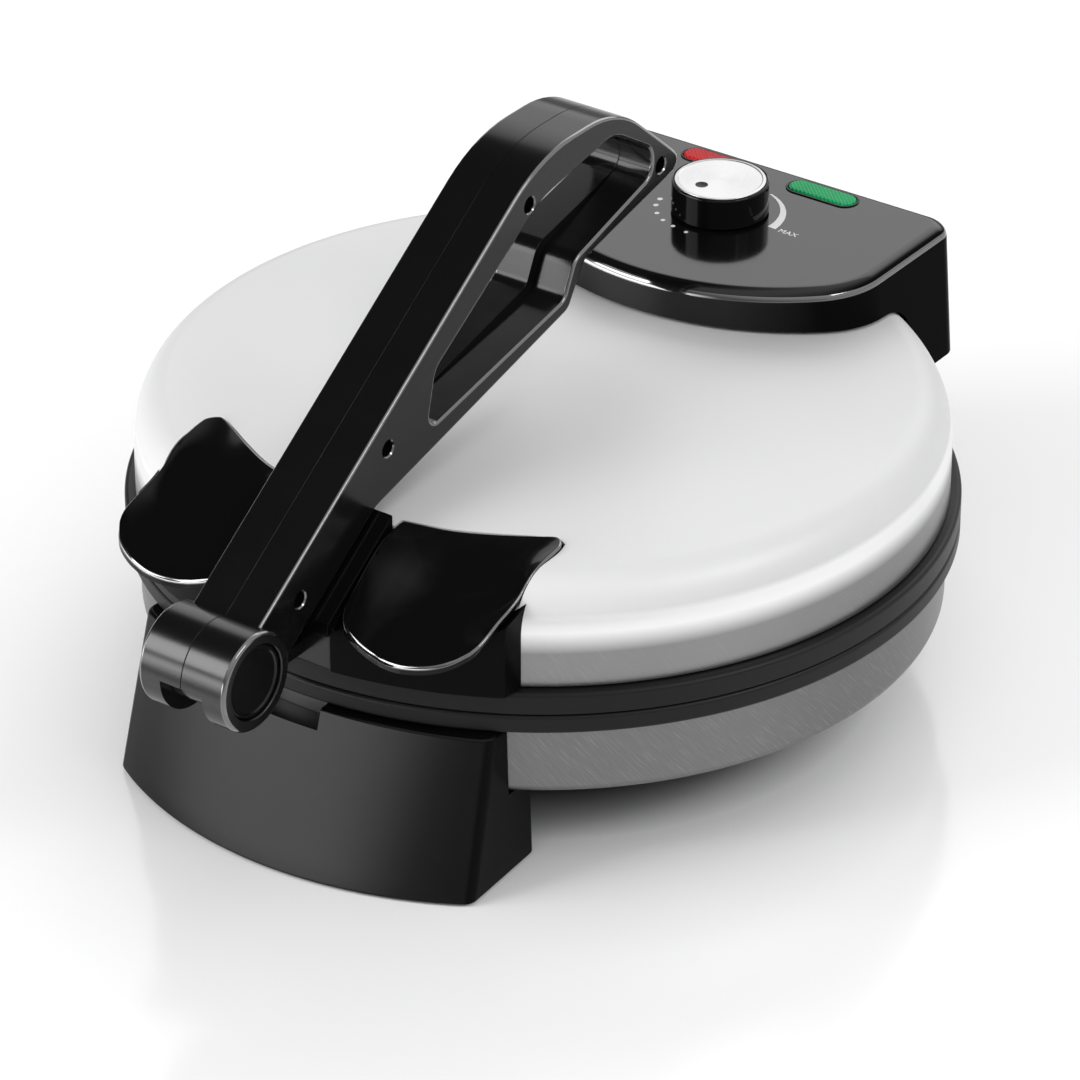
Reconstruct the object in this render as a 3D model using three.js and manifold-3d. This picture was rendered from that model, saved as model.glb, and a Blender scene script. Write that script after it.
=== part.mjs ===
// Electric roti maker: a round countertop cooker with a hinged lid, a folding press lever and a heat knob.
// Millimetres, +Z up, front towards -Y. While it is built, the round body's axis is the Z axis and
// the table is z = 0; the last lines move it so that the origin is the middle of its footprint.
import * as THREE from 'three';
import { mergeVertices } from 'three/addons/utils/BufferGeometryUtils.js';
import Module from 'manifold-3d';

const wasm = await Module();
wasm.setup();

// Driving dimensions: the fits that every piece shares
const gap = 0.3;
const overrun = 5;
const roundSteps = 56;
const hiddenSteps = 32;
const smallSteps = 20;
const studSteps = 12;
const shoulderSteps = 5;
const crownSteps = 2;
const cornerSteps = 4;
const footArcSteps = 10;
const hoodSteps = 6;
const slotSteps = 10;
const arcStep = Math.PI / 12;

// Driving dimensions: the round body, from the table up
const ringRadius = 145;
const lidShellInset = 3.9;
const baseShellInset = 4.6;
const shellSheet = 1.2;
const baseClearance = 31;
const baseShellHeight = 26.1;
const baseRingHeight = 6.8;
const lidRingHeight = 8.2;
const lidSideHeight = 18.8;
const shoulderWidth = 14;
const shoulderRise = 20;
const crownRise = 4;
const baseCornerRadius = 4;
const ringEdge = 1.6;
const ringWidth = 16.5;
const ringLedge = 8;
const ringLedgeHeight = 1.6;
const flangeWidth = 12;

const lidShellRadius = ringRadius - lidShellInset;
const baseShellRadius = ringRadius - baseShellInset;
const baseShellTop = baseClearance + baseShellHeight;
const baseRingBottom = baseShellTop + gap;
const baseRingTop = baseRingBottom + baseRingHeight;
const lidRingBottom = baseRingTop + gap;
const lidRingTop = lidRingBottom + lidRingHeight;
const lidShellBottom = lidRingTop + gap;
const shoulderHeight = lidRingTop + lidSideHeight;
const lidRimTop = shoulderHeight + shoulderRise;
const lidRimRadius = lidShellRadius - shoulderWidth;
const ringBore = ringRadius - ringWidth;

// Driving dimensions: the plates, their heaters and what carries them
const plateThickness = 4.6;
const plateGap = 2;
const plateEdge = 0.8;
const heaterInset = 44.5;
const heaterWidth = 8;
const heaterHeight = 6;
const reflectorInset = 12.5;
const reflectorSheet = 1;
const reflectorRim = 5;
const reflectorDrop = 8;
const studInset = 12;
const studRadius = 5;
const studNeckRadius = 3;
const studCount = 3;
const coverThickness = 2;
const coverMargin = 3;
const ventCount = 8;
const ventInset = 70.4;
const ventRadius = 5;

const heaterRadius = ringBore - heaterInset;
const reflectorRadius = ringBore - reflectorInset;
const studCircle = reflectorRadius - studInset;
const ventCircle = baseShellRadius - ventInset;
const lowerPlateBottom = baseRingBottom + ringLedgeHeight + gap;
const upperPlateBottom = lowerPlateBottom + plateThickness + plateGap;
const upperPlateTop = upperPlateBottom + plateThickness;
const lowerReflectorBottom = lowerPlateBottom - gap - heaterHeight - reflectorDrop;
const upperReflectorBottom = upperPlateTop + gap + heaterHeight + reflectorDrop;
const coverTop = baseClearance + shellSheet + gap + coverThickness;

// Driving dimensions: the front foot
const footProud = 21;
const footHalfWidth = 74.3;
const footBow = 21;
const footLean = 18;
const footSideLean = 1.8;
const footTopBow = 17.5;
const footDepth = 60;
const footRearTaper = 2.3;
const footCorner = 5;
const footWall = 5;
const footTopEdge = 1.5;
const footNotchHalfWidth = 15;
const footNotchDepth = 7.5;
const footPocketHalfWidth = 50;
const footPocketInset = 23;
const footPadInset = 38;
const padRadius = 7;
const padHeight = 3;
const padProud = 0.8;
const padInset = 12;

const footReach = ringRadius + footProud;
const footCornerReach = footReach - footBow;
const footTopReach = footReach - footLean;
const footTopCornerReach = footTopReach - footTopBow;
const footRearReach = footReach - footDepth;
const footPocketReach = footReach - footPocketInset;
const footPadReach = footReach - footPadInset;
const footTopHalfWidth = footHalfWidth - footSideLean;
const footPadAcross = footHalfWidth - padInset;

// Driving dimensions: the rear housing, the lid's hinge and the cord inlet
const hingeProud = 7;
const hingeRise = 1.5;
const knuckleRadius = 6;
const hingePinRadius = 2.5;
const baseKnuckleHalf = 26;
const lidKnuckleWidth = 20;
const outerKnuckleWidth = 8;
const rearHalfWidth = 62;
const rearProud = 18;
const rearDepth = 48;
const rearCorner = 9;
const rearPocketHalfWidth = 42;
const rearWall = 4;
const armThickness = 7;
const coverPlate = 2;
const inletRadius = 6.5;
const inletWall = 2.9;
const inletFlange = 1.6;
const inletFlangeProud = 2.5;
const inletAcross = 34;
const inletHeight = 24;
const terminalSize = { across: 30, deep: 10, tall: 12 };
const armPlateMargin = 12;

const hingeReach = ringRadius + hingeProud;
const hingeHeight = lidRingBottom + hingeRise;
const rearReach = ringRadius + rearProud;
const inletBore = inletRadius - inletWall;
const inletFlangeRadius = inletRadius + inletFlangeProud;
const rearPadAcross = rearHalfWidth - padInset;
const rearPadReach = rearReach - padInset;
const rearPocketTop = baseShellTop - rearWall;
const lidKnuckleStart = baseKnuckleHalf + gap;
const lidKnuckleEnd = lidKnuckleStart + lidKnuckleWidth;
const outerKnuckleStart = lidKnuckleEnd + gap;
const outerKnuckleEnd = outerKnuckleStart + outerKnuckleWidth;
const armPlateEnd = lidKnuckleEnd + armPlateMargin;

// Driving dimensions: the control housing with its knob and lights
const housingRise = 18.8;
const housingLift = 8;
const housingProud = 6;
const housingDepth = 99.5;
const housingHalfWidth = 72.6;
const housingDraft = 3.4;
const housingFrontRadius = 90;
const housingCornerRadius = 32;
const housingRearRadius = 9;
const housingEdge = 5;
const housingWall = 2.6;
const housingClearance = 1.2;
const knobInset = 42.6;
const knobRadius = 17.5;
const knobHeight = 11.6;
const knobStandOff = 0.9;
const knobSkin = 2.2;
const knobEdge = 0.8;
const knobCapInset = 1.1;
const knobCapHeight = 1.2;
const knobDimpleRadius = 2;
const knobDimpleInset = 8.2;
const knobHubRadius = 6;
const shaftRadius = 3;
const bushRadius = 4.6;
const thermostatSize = { across: 34, deep: 26, tall: 7 };
const lensInset = 10.6;
const lensAcross = 22.7;
const lensLength = 27.5;
const lensWidth = 9;
const lensProud = 1;
const lensBelow = 1;
const lampRadius = 2.4;
const lampLength = 18;
const knobIndexAngle = THREE.MathUtils.degToRad(-110);
const shaftSeat = 2;

const housingTop = lidRimTop + housingRise;
const housingBottom = lidShellBottom + housingLift;
const housingRear = ringRadius + housingProud;
const housingFront = housingRear - housingDepth;
const knobReach = housingRear - knobInset;
const knobCapRadius = knobRadius - knobCapInset;
const knobDimpleOffset = knobCapRadius - knobDimpleInset;
const lensReach = housingRear - lensInset;
const knobTop = housingTop + knobStandOff + knobHeight;
const shaftBottom = housingTop - housingWall - thermostatSize.tall / 2;
const shaftTop = knobTop - knobCapHeight - shaftSeat;

// Driving dimensions: the lid's front bracket with its two wings
const apronProud = 4;
const apronMargin = 2.1;
const apronDrop = 3.5;
const apronDepth = 49;
const channelMargin = 2.5;
const saddleMargin = 4;
const troughFloor = 5;
const troughClearance = 1.5;
const troughLength = 36;
const restPadHalfWidth = 8;
const restPadLength = 12;
const wingMargin = 0.9;
const wingSpan = 53;
const wingProud = 4.5;
const wingDepth = 64.2;
const wingRise = 2.6;
const wingDrop = 25.3;
const wingScoop = 2.5;
const wingSheet = 3.2;
const wingSteps = 8;

// Driving dimensions: the lever, its barrel and the pivot
const pivotProud = 34;
const pivotRise = 13;
const barrelWall = 4.25;
const barrelStep = 3.6;
const barrelEdge = 1.8;
const capInset = 4.3;
const capRecess = 1;
const capThickness = 1.6;
const leverHalfWidth = 13.9;
const leverReach = 243.6;
const leverBevel = 1.1;
const leverParting = 0.15;
const armOver = 9.1;
const armUnder = 13.2;
const armSlope = 0.68;
const forkWall = 5.8;
const eyeRadius = 12.6;
const slotClearance = 0.45;
const slotFrontAngle = 180;
const slotRearAngle = 16;
const lugTop = 5.4;
const lugBottom = 10.4;
const lugPlate = 6;
const lugPlateRise = 1.4;
const pivotPinRadius = 4;
const screwShankRadius = 1.4;
const screwHeadRadius = 2.5;
const screwHeadHeight = 2.4;
const screwHeadDepth = 5;
const screwHoleClearance = 0.4;
const screwLength = 14;
const screwSlot = 0.9;

const apronRadius = ringRadius + apronProud;
const apronTop = lidRimTop - apronDrop;
const apronRearReach = apronRadius - apronDepth;
const troughRear = apronRadius - troughLength;
const pivotReach = apronRadius + pivotProud;
const pivotHeight = lidShellBottom + pivotRise;
const eyeHalfWidth = leverHalfWidth - forkWall;
const barrelRadius = eyeRadius + slotClearance + barrelWall;
const barrelHalfLength = leverHalfWidth + barrelStep;
const capRadius = barrelRadius - capInset;
const channelHalfWidth = barrelHalfLength + channelMargin;
const saddleHalfWidth = channelHalfWidth + saddleMargin;
const wingInner = channelHalfWidth + wingMargin;
const apronHalfWidth = wingInner + wingSpan + apronMargin;
const wingRear = apronRadius + wingProud - wingDepth;
const wingTop = lidRimTop + wingRise;
const lugPlateTop = pivotHeight + lugPlateRise;
const screwHoleRadius = screwHeadRadius + screwHoleClearance;
const screwHeadBottom = leverHalfWidth - screwHeadDepth - screwHeadHeight;
const screwTip = screwHeadBottom - screwLength;

// Outline shares: the lever's rise as a share of its slope, then its side view, as [share of reach,
// share of rise, share of rise for the rounding]
const leverRiseShare = 0.7335;
const leverTopShares = [
  [0.667, 1, 0.494],
  [0.852, 1, 0.37],
  [0.985, 0.77, 0.025],
  [1.006, 0.728, 0.033],
  [0.991, 0.695, 0.025],
  [0.772, 0.597, 0.066],
  [0.733, 0.472, 0.05],
];
const windowShares = [
  [0.402, 0.383, 0.033],
  [0.723, 0.51, 0.041],
  [0.749, 0.617, 0.066],
  [0.936, 0.724, 0.05],
  [0.936, 0.807, 0.066],
  [0.842, 0.926, 0.123],
  [0.669, 0.868, 0.247],
  [0.423, 0.556, 0.066],
];
const underBarShare = 0.283;
const leverScrewShares = [
  [0.115, 0.132],
  [0.313, 0.411],
  [0.64, 0.873],
  [0.957, 0.738],
];

// Outline shares: a wing's four edges, as [share of span outwards, share of depth forwards, share of drop]
const wingRearShares = [
  [0, 0.307, 0.055],
  [0.308, 0.241, 0.055],
  [0.592, 0.132, 0.055],
  [0.808, 0.036, 0.043],
  [0.917, 0, 0.02],
  [0.983, 0.019, 0],
];
const wingOuterShares = [
  [0.983, 0.019, 0],
  [1, 0.084, 0.02],
  [1, 0.252, 0.083],
  [1, 0.33, 0.154],
  [1, 0.419, 0.32],
  [1, 0.508, 0.415],
  [1, 0.597, 0.478],
  [1, 0.763, 0.628],
  [0.972, 0.822, 0.707],
];
const wingFrontShares = [
  [0.01, 0.836, 0.735],
  [0.095, 0.914, 0.826],
  [0.219, 0.955, 0.913],
  [0.336, 0.972, 0.976],
  [0.464, 0.995, 0.984],
  [0.604, 1, 0.957],
  [0.777, 0.961, 0.893],
  [0.894, 0.905, 0.806],
  [0.972, 0.822, 0.707],
];
const wingInnerShares = [
  [0, 0.307, 0.055],
  [0, 0.447, 0.1],
  [0, 0.579, 0.285],
  [0.005, 0.712, 0.518],
  [0.01, 0.836, 0.735],
];

const leverRise = leverReach * armSlope * leverRiseShare;

function finish(color, roughness, metalness) {
  return new THREE.MeshStandardMaterial({ color, roughness, metalness });
}

const steel = finish(0xd9dadb, 0.32, 1);
const darkSteel = finish(0x8f9294, 0.4, 1);
const castPlate = finish(0x2a2b2d, 0.55, 0.3);
const heaterMetal = finish(0x5c5f61, 0.5, 0.8);
const ringPlastic = finish(0x232426, 0.5, 0);
const glossBlack = finish(0x0c0c0e, 0.16, 0);
const satinBlack = finish(0x131315, 0.35, 0);
const silver = finish(0xe4e4e6, 0.28, 0.8);
const rubber = finish(0x1b1b1c, 0.85, 0);
const greenLight = finish(0x17b063, 0.15, 0);
const redLight = finish(0xd8232a, 0.15, 0);
const glass = finish(0xf2e6d8, 0.1, 0);
const ceramic = finish(0xe8e2d4, 0.7, 0);

// Solids: from three.js geometry to a closed solid and back
function solid(geometry) {
  const bare = geometry.index ? geometry.toNonIndexed() : geometry.clone();
  bare.deleteAttribute('normal');
  bare.deleteAttribute('uv');
  const merged = mergeVertices(bare);
  return new wasm.Manifold(new wasm.Mesh({
    numProp: 3,
    vertProperties: merged.attributes.position.array,
    triVerts: merged.index.array,
  }));
}

function geometryOf(shape) {
  const mesh = shape.getMesh();
  const geometry = new THREE.BufferGeometry();
  geometry.setAttribute('position', new THREE.BufferAttribute(mesh.vertProperties, 3));
  geometry.setIndex(new THREE.BufferAttribute(mesh.triVerts, 1));
  return geometry;
}

const ordered = (a, b) => [Math.min(a, b), Math.max(a, b)];
const join = (first, ...rest) => rest.reduce((whole, next) => whole.add(next), first);
const cut = (first, ...rest) => rest.reduce((whole, next) => whole.subtract(next), first);

// Primitive solids in the body's own frame
function lathe(profile, steps) {
  const points = profile.map(([r, z]) => new THREE.Vector2(r, z));
  if (profile[0][0] !== 0) {
    points.push(points[0].clone());
  }
  return solid(new THREE.LatheGeometry(points, steps).rotateX(Math.PI / 2));
}

function block(x0, x1, y0, y1, z0, z1) {
  const geometry = new THREE.BoxGeometry(x1 - x0, y1 - y0, z1 - z0);
  return solid(geometry.translate((x0 + x1) / 2, (y0 + y1) / 2, (z0 + z1) / 2));
}

function rodX(radius, x0, x1, y, z, steps = smallSteps) {
  const geometry = new THREE.CylinderGeometry(radius, radius, x1 - x0, steps).rotateZ(Math.PI / 2);
  return solid(geometry.translate((x0 + x1) / 2, y, z));
}

function rodY(radius, y0, y1, x, z, steps = smallSteps) {
  const geometry = new THREE.CylinderGeometry(radius, radius, y1 - y0, steps);
  return solid(geometry.translate(x, (y0 + y1) / 2, z));
}

function rodZ(radius, z0, z1, x, y, steps = smallSteps) {
  const geometry = new THREE.CylinderGeometry(radius, radius, z1 - z0, steps).rotateX(Math.PI / 2);
  return solid(geometry.translate(x, y, (z0 + z1) / 2));
}

// A polygon whose corners [a, b, radius] are rounded with arcs
function roundedPoints(corners, stepsEach) {
  const points = [];
  corners.forEach(([a, b, radius = 0], i) => {
    const here = new THREE.Vector2(a, b);
    if (radius === 0) {
      points.push(here);
      return;
    }
    const [pa, pb] = corners[(i + corners.length - 1) % corners.length];
    const [na, nb] = corners[(i + 1) % corners.length];
    const back = new THREE.Vector2(pa - a, pb - b).normalize();
    const ahead = new THREE.Vector2(na - a, nb - b).normalize();
    const half = Math.acos(THREE.MathUtils.clamp(back.dot(ahead), -1, 1)) / 2;
    const centre = back.clone().add(ahead).setLength(radius / Math.sin(half)).add(here);
    const start = here.clone().addScaledVector(back, radius / Math.tan(half)).sub(centre);
    const turn = Math.sign(back.cross(ahead)) * -1;
    const sweep = Math.PI - 2 * half;
    const steps = stepsEach ?? Math.max(2, Math.ceil(sweep / arcStep));
    for (let k = 0; k <= steps; k += 1) {
      const angle = start.angle() + turn * sweep * k / steps;
      points.push(new THREE.Vector2(Math.cos(angle), Math.sin(angle)).multiplyScalar(radius).add(centre));
    }
  });
  return points;
}

// An outline in the plane of a side view, run along X
function extrudeX(points, x0, x1, hole, bevel = 0) {
  const shape = new THREE.Shape(points);
  if (hole) {
    shape.holes.push(new THREE.Path(hole));
  }
  const geometry = new THREE.ExtrudeGeometry(shape, {
    depth: x1 - x0 - 2 * bevel,
    bevelEnabled: bevel > 0,
    bevelThickness: bevel,
    bevelSize: bevel,
    bevelOffset: -bevel,
    bevelSegments: 1,
  });
  const alongY = new THREE.Vector3(0, 1, 0);
  const alongZ = new THREE.Vector3(0, 0, 1);
  const alongX = new THREE.Vector3(1, 0, 0);
  geometry.applyMatrix4(new THREE.Matrix4().makeBasis(alongY, alongZ, alongX));
  return solid(geometry.translate(x0 + bevel, 0, 0));
}

// A skin of straight rules through outlines of equal point counts, [points, z] from the lowest up
function loft(sections) {
  const count = sections[0][0].length;
  const positions = [];
  const indices = [];
  sections.forEach(([points, z]) => points.forEach((p) => positions.push(p.x, p.y, z)));
  for (let layer = 0; layer + 1 < sections.length; layer += 1) {
    for (let i = 0; i < count; i += 1) {
      const a = layer * count + i;
      const b = layer * count + (i + 1) % count;
      indices.push(a, b, b + count, a, b + count, a + count);
    }
  }
  const last = (sections.length - 1) * count;
  THREE.ShapeUtils.triangulateShape(sections[0][0], []).forEach(([a, b, c]) => indices.push(c, b, a));
  THREE.ShapeUtils.triangulateShape(sections.at(-1)[0], []).forEach(([a, b, c]) => {
    indices.push(last + a, last + b, last + c);
  });
  const geometry = new THREE.BufferGeometry();
  geometry.setAttribute('position', new THREE.Float32BufferAttribute(positions, 3));
  geometry.setIndex(indices);
  return solid(geometry);
}

// Points on a quarter turn from straight out (0) to straight up (a right angle)
function quarterPoints(centreRadius, centreHeight, width, rise, steps = shoulderSteps) {
  const points = [];
  for (let k = 0; k <= steps; k += 1) {
    const angle = k / steps * Math.PI / 2;
    points.push([centreRadius + width * Math.cos(angle), centreHeight + rise * Math.sin(angle)]);
  }
  return points;
}

// The flat dome inside the shoulder, from its rim to the axis
function crownPoints(rimHeight) {
  const points = [];
  for (let k = 1; k <= crownSteps; k += 1) {
    const share = 1 - k / crownSteps;
    points.push([lidRimRadius * share, rimHeight + crownRise * (1 - share * share)]);
  }
  return points;
}

// The space that the lid's shell fills, swollen by a clearance
function lidEnvelope(clear) {
  return lathe([
    [0, lidShellBottom - clear],
    [lidShellRadius + clear, lidShellBottom - clear],
    ...quarterPoints(lidRimRadius, shoulderHeight, shoulderWidth + clear, shoulderRise + clear),
    ...crownPoints(lidRimTop + clear),
  ], roundSteps);
}

// The space that the base's shell fills, swollen by a clearance
function baseEnvelope(clear) {
  return lathe([
    [0, baseClearance - clear],
    [baseShellRadius + clear, baseClearance - clear],
    [baseShellRadius + clear, baseRingBottom],
    [0, baseRingBottom],
  ], roundSteps);
}

// Base: the steel bowl, its ring, plate, heater, reflector, studs and cover
function baseShell() {
  const corner = baseShellRadius - baseCornerRadius;
  const lip = baseShellRadius - flangeWidth;
  const turned = (radius) => quarterPoints(corner, 0, radius, radius, cornerSteps)
    .map(([r, z]) => [r, baseClearance + baseCornerRadius - z]);
  const outer = turned(baseCornerRadius);
  const inner = turned(baseCornerRadius - shellSheet);
  return lathe([
    [lip, baseClearance],
    ...outer.reverse(),
    [baseShellRadius, baseShellTop],
    [baseShellRadius - shellSheet, baseShellTop],
    ...inner,
    [lip, baseClearance + shellSheet],
  ], roundSteps);
}

function baseRing() {
  return lathe([
    [ringBore - ringLedge, baseRingBottom],
    [ringRadius - ringEdge, baseRingBottom],
    [ringRadius, baseRingBottom + ringEdge],
    [ringRadius, baseRingTop - ringEdge / 2],
    [ringRadius - ringEdge / 2, baseRingTop],
    [ringBore, baseRingTop],
    [ringBore, baseRingBottom + ringLedgeHeight],
    [ringBore - ringLedge, baseRingBottom + ringLedgeHeight],
  ], roundSteps);
}

function plate(bottom) {
  const radius = ringBore - gap;
  return lathe([
    [0, bottom],
    [radius - plateEdge, bottom],
    [radius, bottom + plateEdge],
    [radius, bottom + plateThickness - plateEdge],
    [radius - plateEdge, bottom + plateThickness],
    [0, bottom + plateThickness],
  ], hiddenSteps);
}

function heater(bottom) {
  const inner = heaterRadius - heaterWidth / 2;
  const outer = heaterRadius + heaterWidth / 2;
  return lathe([
    [inner, bottom],
    [outer, bottom],
    [outer, bottom + heaterHeight],
    [inner, bottom + heaterHeight],
  ], hiddenSteps);
}

const onCircle = (radius, count, index) => {
  const angle = (index + 1 / 2) / count * 2 * Math.PI;
  return [radius * Math.cos(angle), radius * Math.sin(angle)];
};

// A dish of thin sheet whose rim stands towards the plate: up in the base, down in the lid
function reflector(sheetBottom, rimSide) {
  const low = rimSide > 0 ? sheetBottom : sheetBottom - reflectorRim;
  const high = rimSide > 0 ? sheetBottom + reflectorSheet + reflectorRim : sheetBottom + reflectorSheet;
  const disc = lathe([
    [0, low],
    [reflectorRadius, low],
    [reflectorRadius, high],
    [0, high],
  ], hiddenSteps);
  const hollowLow = rimSide > 0 ? sheetBottom + reflectorSheet : low - overrun;
  const hollowHigh = rimSide > 0 ? high + overrun : sheetBottom;
  const hollow = rodZ(reflectorRadius - reflectorSheet, hollowLow, hollowHigh, 0, 0, hiddenSteps);
  let dish = cut(disc, hollow);
  for (let i = 0; i < studCount; i += 1) {
    const [x, y] = onCircle(studCircle, studCount, i);
    dish = cut(dish, rodZ(studNeckRadius + gap, low - overrun, high + overrun, x, y, studSteps));
  }
  return dish;
}

// A stud that clamps a reflector on its shoulder: the wide length, then the neck
function stud(index, wideEnd, shoulder, neckEnd) {
  const [x, y] = onCircle(studCircle, studCount, index);
  const wideEnds = ordered(wideEnd, shoulder);
  const neckEnds = ordered((wideEnd + shoulder) / 2, neckEnd);
  const neck = rodZ(studNeckRadius, ...neckEnds, x, y, studSteps);
  return join(rodZ(studRadius, ...wideEnds, x, y, studSteps), neck);
}

function baseCover() {
  const radius = baseShellRadius - shellSheet - coverMargin;
  const bottom = baseClearance + shellSheet + gap;
  let disc = rodZ(radius, bottom, coverTop, 0, 0, hiddenSteps);
  for (let i = 0; i < ventCount; i += 1) {
    const [x, y] = onCircle(ventCircle, ventCount, i);
    disc = cut(disc, rodZ(ventRadius, bottom - overrun, coverTop + overrun, x, y, studSteps));
  }
  return disc;
}

// Front foot: a bowed apron of plastic that leans back from the table up to the base ring
function footOutline(halfWidth, reach, cornerReach) {
  const bow = reach - cornerReach;
  const radius = (halfWidth * halfWidth + bow * bow) / (2 * bow);
  const corners = [];
  for (let k = 0; k <= footArcSteps; k += 1) {
    const x = halfWidth * (2 * k / footArcSteps - 1);
    const y = radius - reach - Math.sqrt(radius * radius - x * x);
    const isEnd = k === 0 || k === footArcSteps;
    corners.push([x, y, isEnd ? footCorner : 0]);
  }
  corners.push([halfWidth - footRearTaper, -footRearReach, footCorner / 2]);
  corners.push([footRearTaper - halfWidth, -footRearReach, footCorner / 2]);
  return roundedPoints(corners, cornerSteps);
}

function frontFoot() {
  const top = baseShellTop;
  const wide = footOutline(footHalfWidth, footReach, footCornerReach);
  const narrow = footOutline(footTopHalfWidth, footTopReach, footTopCornerReach);
  const inset = footOutline(
    footTopHalfWidth - footTopEdge,
    footTopReach - footTopEdge,
    footTopCornerReach - footTopEdge,
  );
  const body = loft([[wide, padProud], [narrow, top - footTopEdge], [inset, top]]);
  const notch = block(
    -footNotchHalfWidth,
    footNotchHalfWidth,
    -footReach,
    -baseShellRadius,
    top - footNotchDepth,
    top + overrun,
  );
  const pocket = block(
    -footPocketHalfWidth,
    footPocketHalfWidth,
    -footPocketReach,
    -footRearReach - footWall,
    -overrun,
    baseClearance - footWall,
  );
  const left = padRecess(-footPadAcross, -footPadReach);
  const right = padRecess(footPadAcross, -footPadReach);
  return cut(body, baseEnvelope(gap), notch, pocket, left, right);
}

const padRecess = (x, y) => rodZ(padRadius + gap, -overrun, padHeight + gap, x, y, smallSteps);
const pad = (x, y) => rodZ(padRadius, 0, padHeight, x, y, smallSteps);

// Rear housing: carries the hinge's fixed knuckles and the cord inlet
function roundedBox(halfWidth, y0, y1, radius) {
  return roundedPoints([
    [-halfWidth, y0, radius],
    [halfWidth, y0, radius],
    [halfWidth, y1, radius],
    [-halfWidth, y1, radius],
  ], cornerSteps);
}

function knuckle(x0, x1, webTo) {
  const barrel = rodX(knuckleRadius, x0, x1, hingeReach, hingeHeight);
  const webEnds = ordered(webTo, hingeHeight);
  const web = block(x0, x1, hingeReach - armThickness / 2, hingeReach + armThickness / 2, ...webEnds);
  return join(barrel, web);
}

function hingeBore() {
  const past = outerKnuckleEnd * 2;
  return rodX(hingePinRadius + gap, -past, past, hingeReach, hingeHeight);
}

const hingePin = () => rodX(hingePinRadius, -outerKnuckleEnd, outerKnuckleEnd, hingeReach, hingeHeight);

function rearHousing() {
  const top = baseShellTop;
  const front = rearReach - rearDepth;
  const inset = rearCorner / 4;
  const body = loft([
    [roundedBox(rearHalfWidth, front, rearReach, rearCorner), padProud],
    [roundedBox(rearHalfWidth, front, rearReach, rearCorner), top - inset],
    [roundedBox(rearHalfWidth - inset, front + inset, rearReach - inset, rearCorner - inset), top],
  ]);
  const lowPocket = block(
    -rearPocketHalfWidth,
    rearPocketHalfWidth,
    front + rearWall,
    rearReach - rearWall,
    -overrun,
    baseClearance - rearWall,
  );
  const highPocket = block(
    -rearPocketHalfWidth,
    rearPocketHalfWidth,
    baseShellRadius + rearWall,
    rearReach - rearWall,
    0,
    rearPocketTop,
  );
  const shell = cut(body, baseEnvelope(gap), lowPocket, highPocket);
  const ears = [-1, 1].map((side) => {
    const ends = ordered(side * outerKnuckleStart, side * outerKnuckleEnd);
    return knuckle(...ends, top - rearWall);
  });
  const whole = join(shell, knuckle(-baseKnuckleHalf, baseKnuckleHalf, top - rearWall), ...ears);
  const inletEnds = [rearReach - 2 * rearWall, rearReach + overrun];
  const inletHole = rodY(inletRadius + gap, ...inletEnds, inletAcross, inletHeight);
  const recesses = [-1, 1].map((side) => padRecess(side * rearPadAcross, rearPadReach));
  return cut(whole, hingeBore(), inletHole, ...recesses);
}

function cordInlet() {
  const seat = rearReach + gap;
  const face = seat + inletFlange;
  const body = rodY(inletRadius, rearReach - rearWall - inletFlange, face, inletAcross, inletHeight);
  const flange = rodY(inletFlangeRadius, seat, face, inletAcross, inletHeight);
  const bore = rodY(inletBore, rearReach - 2 * rearWall - overrun, face + overrun, inletAcross, inletHeight);
  return cut(join(body, flange), bore);
}

function terminalBlock() {
  const { across, deep, tall } = terminalSize;
  const top = rearPocketTop - gap;
  const middle = (baseShellRadius + rearReach) / 2;
  return block(-across / 2, across / 2, middle - deep / 2, middle + deep / 2, top - tall, top);
}

// Lid: the steel dome, its ring, plate, heater, reflector and studs
function lidShell() {
  const lip = lidShellRadius - flangeWidth;
  const outer = [
    ...quarterPoints(lidRimRadius, shoulderHeight, shoulderWidth, shoulderRise),
    ...crownPoints(lidRimTop),
  ];
  const inner = [
    ...quarterPoints(lidRimRadius, shoulderHeight, shoulderWidth - shellSheet, shoulderRise - shellSheet),
    ...crownPoints(lidRimTop - shellSheet),
  ];
  const dome = lathe([
    ...inner.reverse(),
    [lidShellRadius - shellSheet, lidShellBottom + shellSheet],
    [lip, lidShellBottom + shellSheet],
    [lip, lidShellBottom],
    [lidShellRadius, lidShellBottom],
    ...outer,
  ], roundSteps);
  const wings = [-1, 1].map((side) => wingPatch(side, -wingSheet - gap, overrun * 2, gap));
  return cut(dome, ...wings, saddle(saddleHalfWidth + gap, gap, overrun * 2));
}

function lidRing() {
  return lathe([
    [ringBore, lidRingBottom],
    [ringRadius - ringEdge / 2, lidRingBottom],
    [ringRadius, lidRingBottom + ringEdge / 2],
    [ringRadius, lidRingTop - ringEdge],
    [ringRadius - ringEdge, lidRingTop],
    [ringBore - ringLedge, lidRingTop],
    [ringBore - ringLedge, upperPlateTop + gap],
    [ringBore, upperPlateTop + gap],
  ], roundSteps);
}

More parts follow.
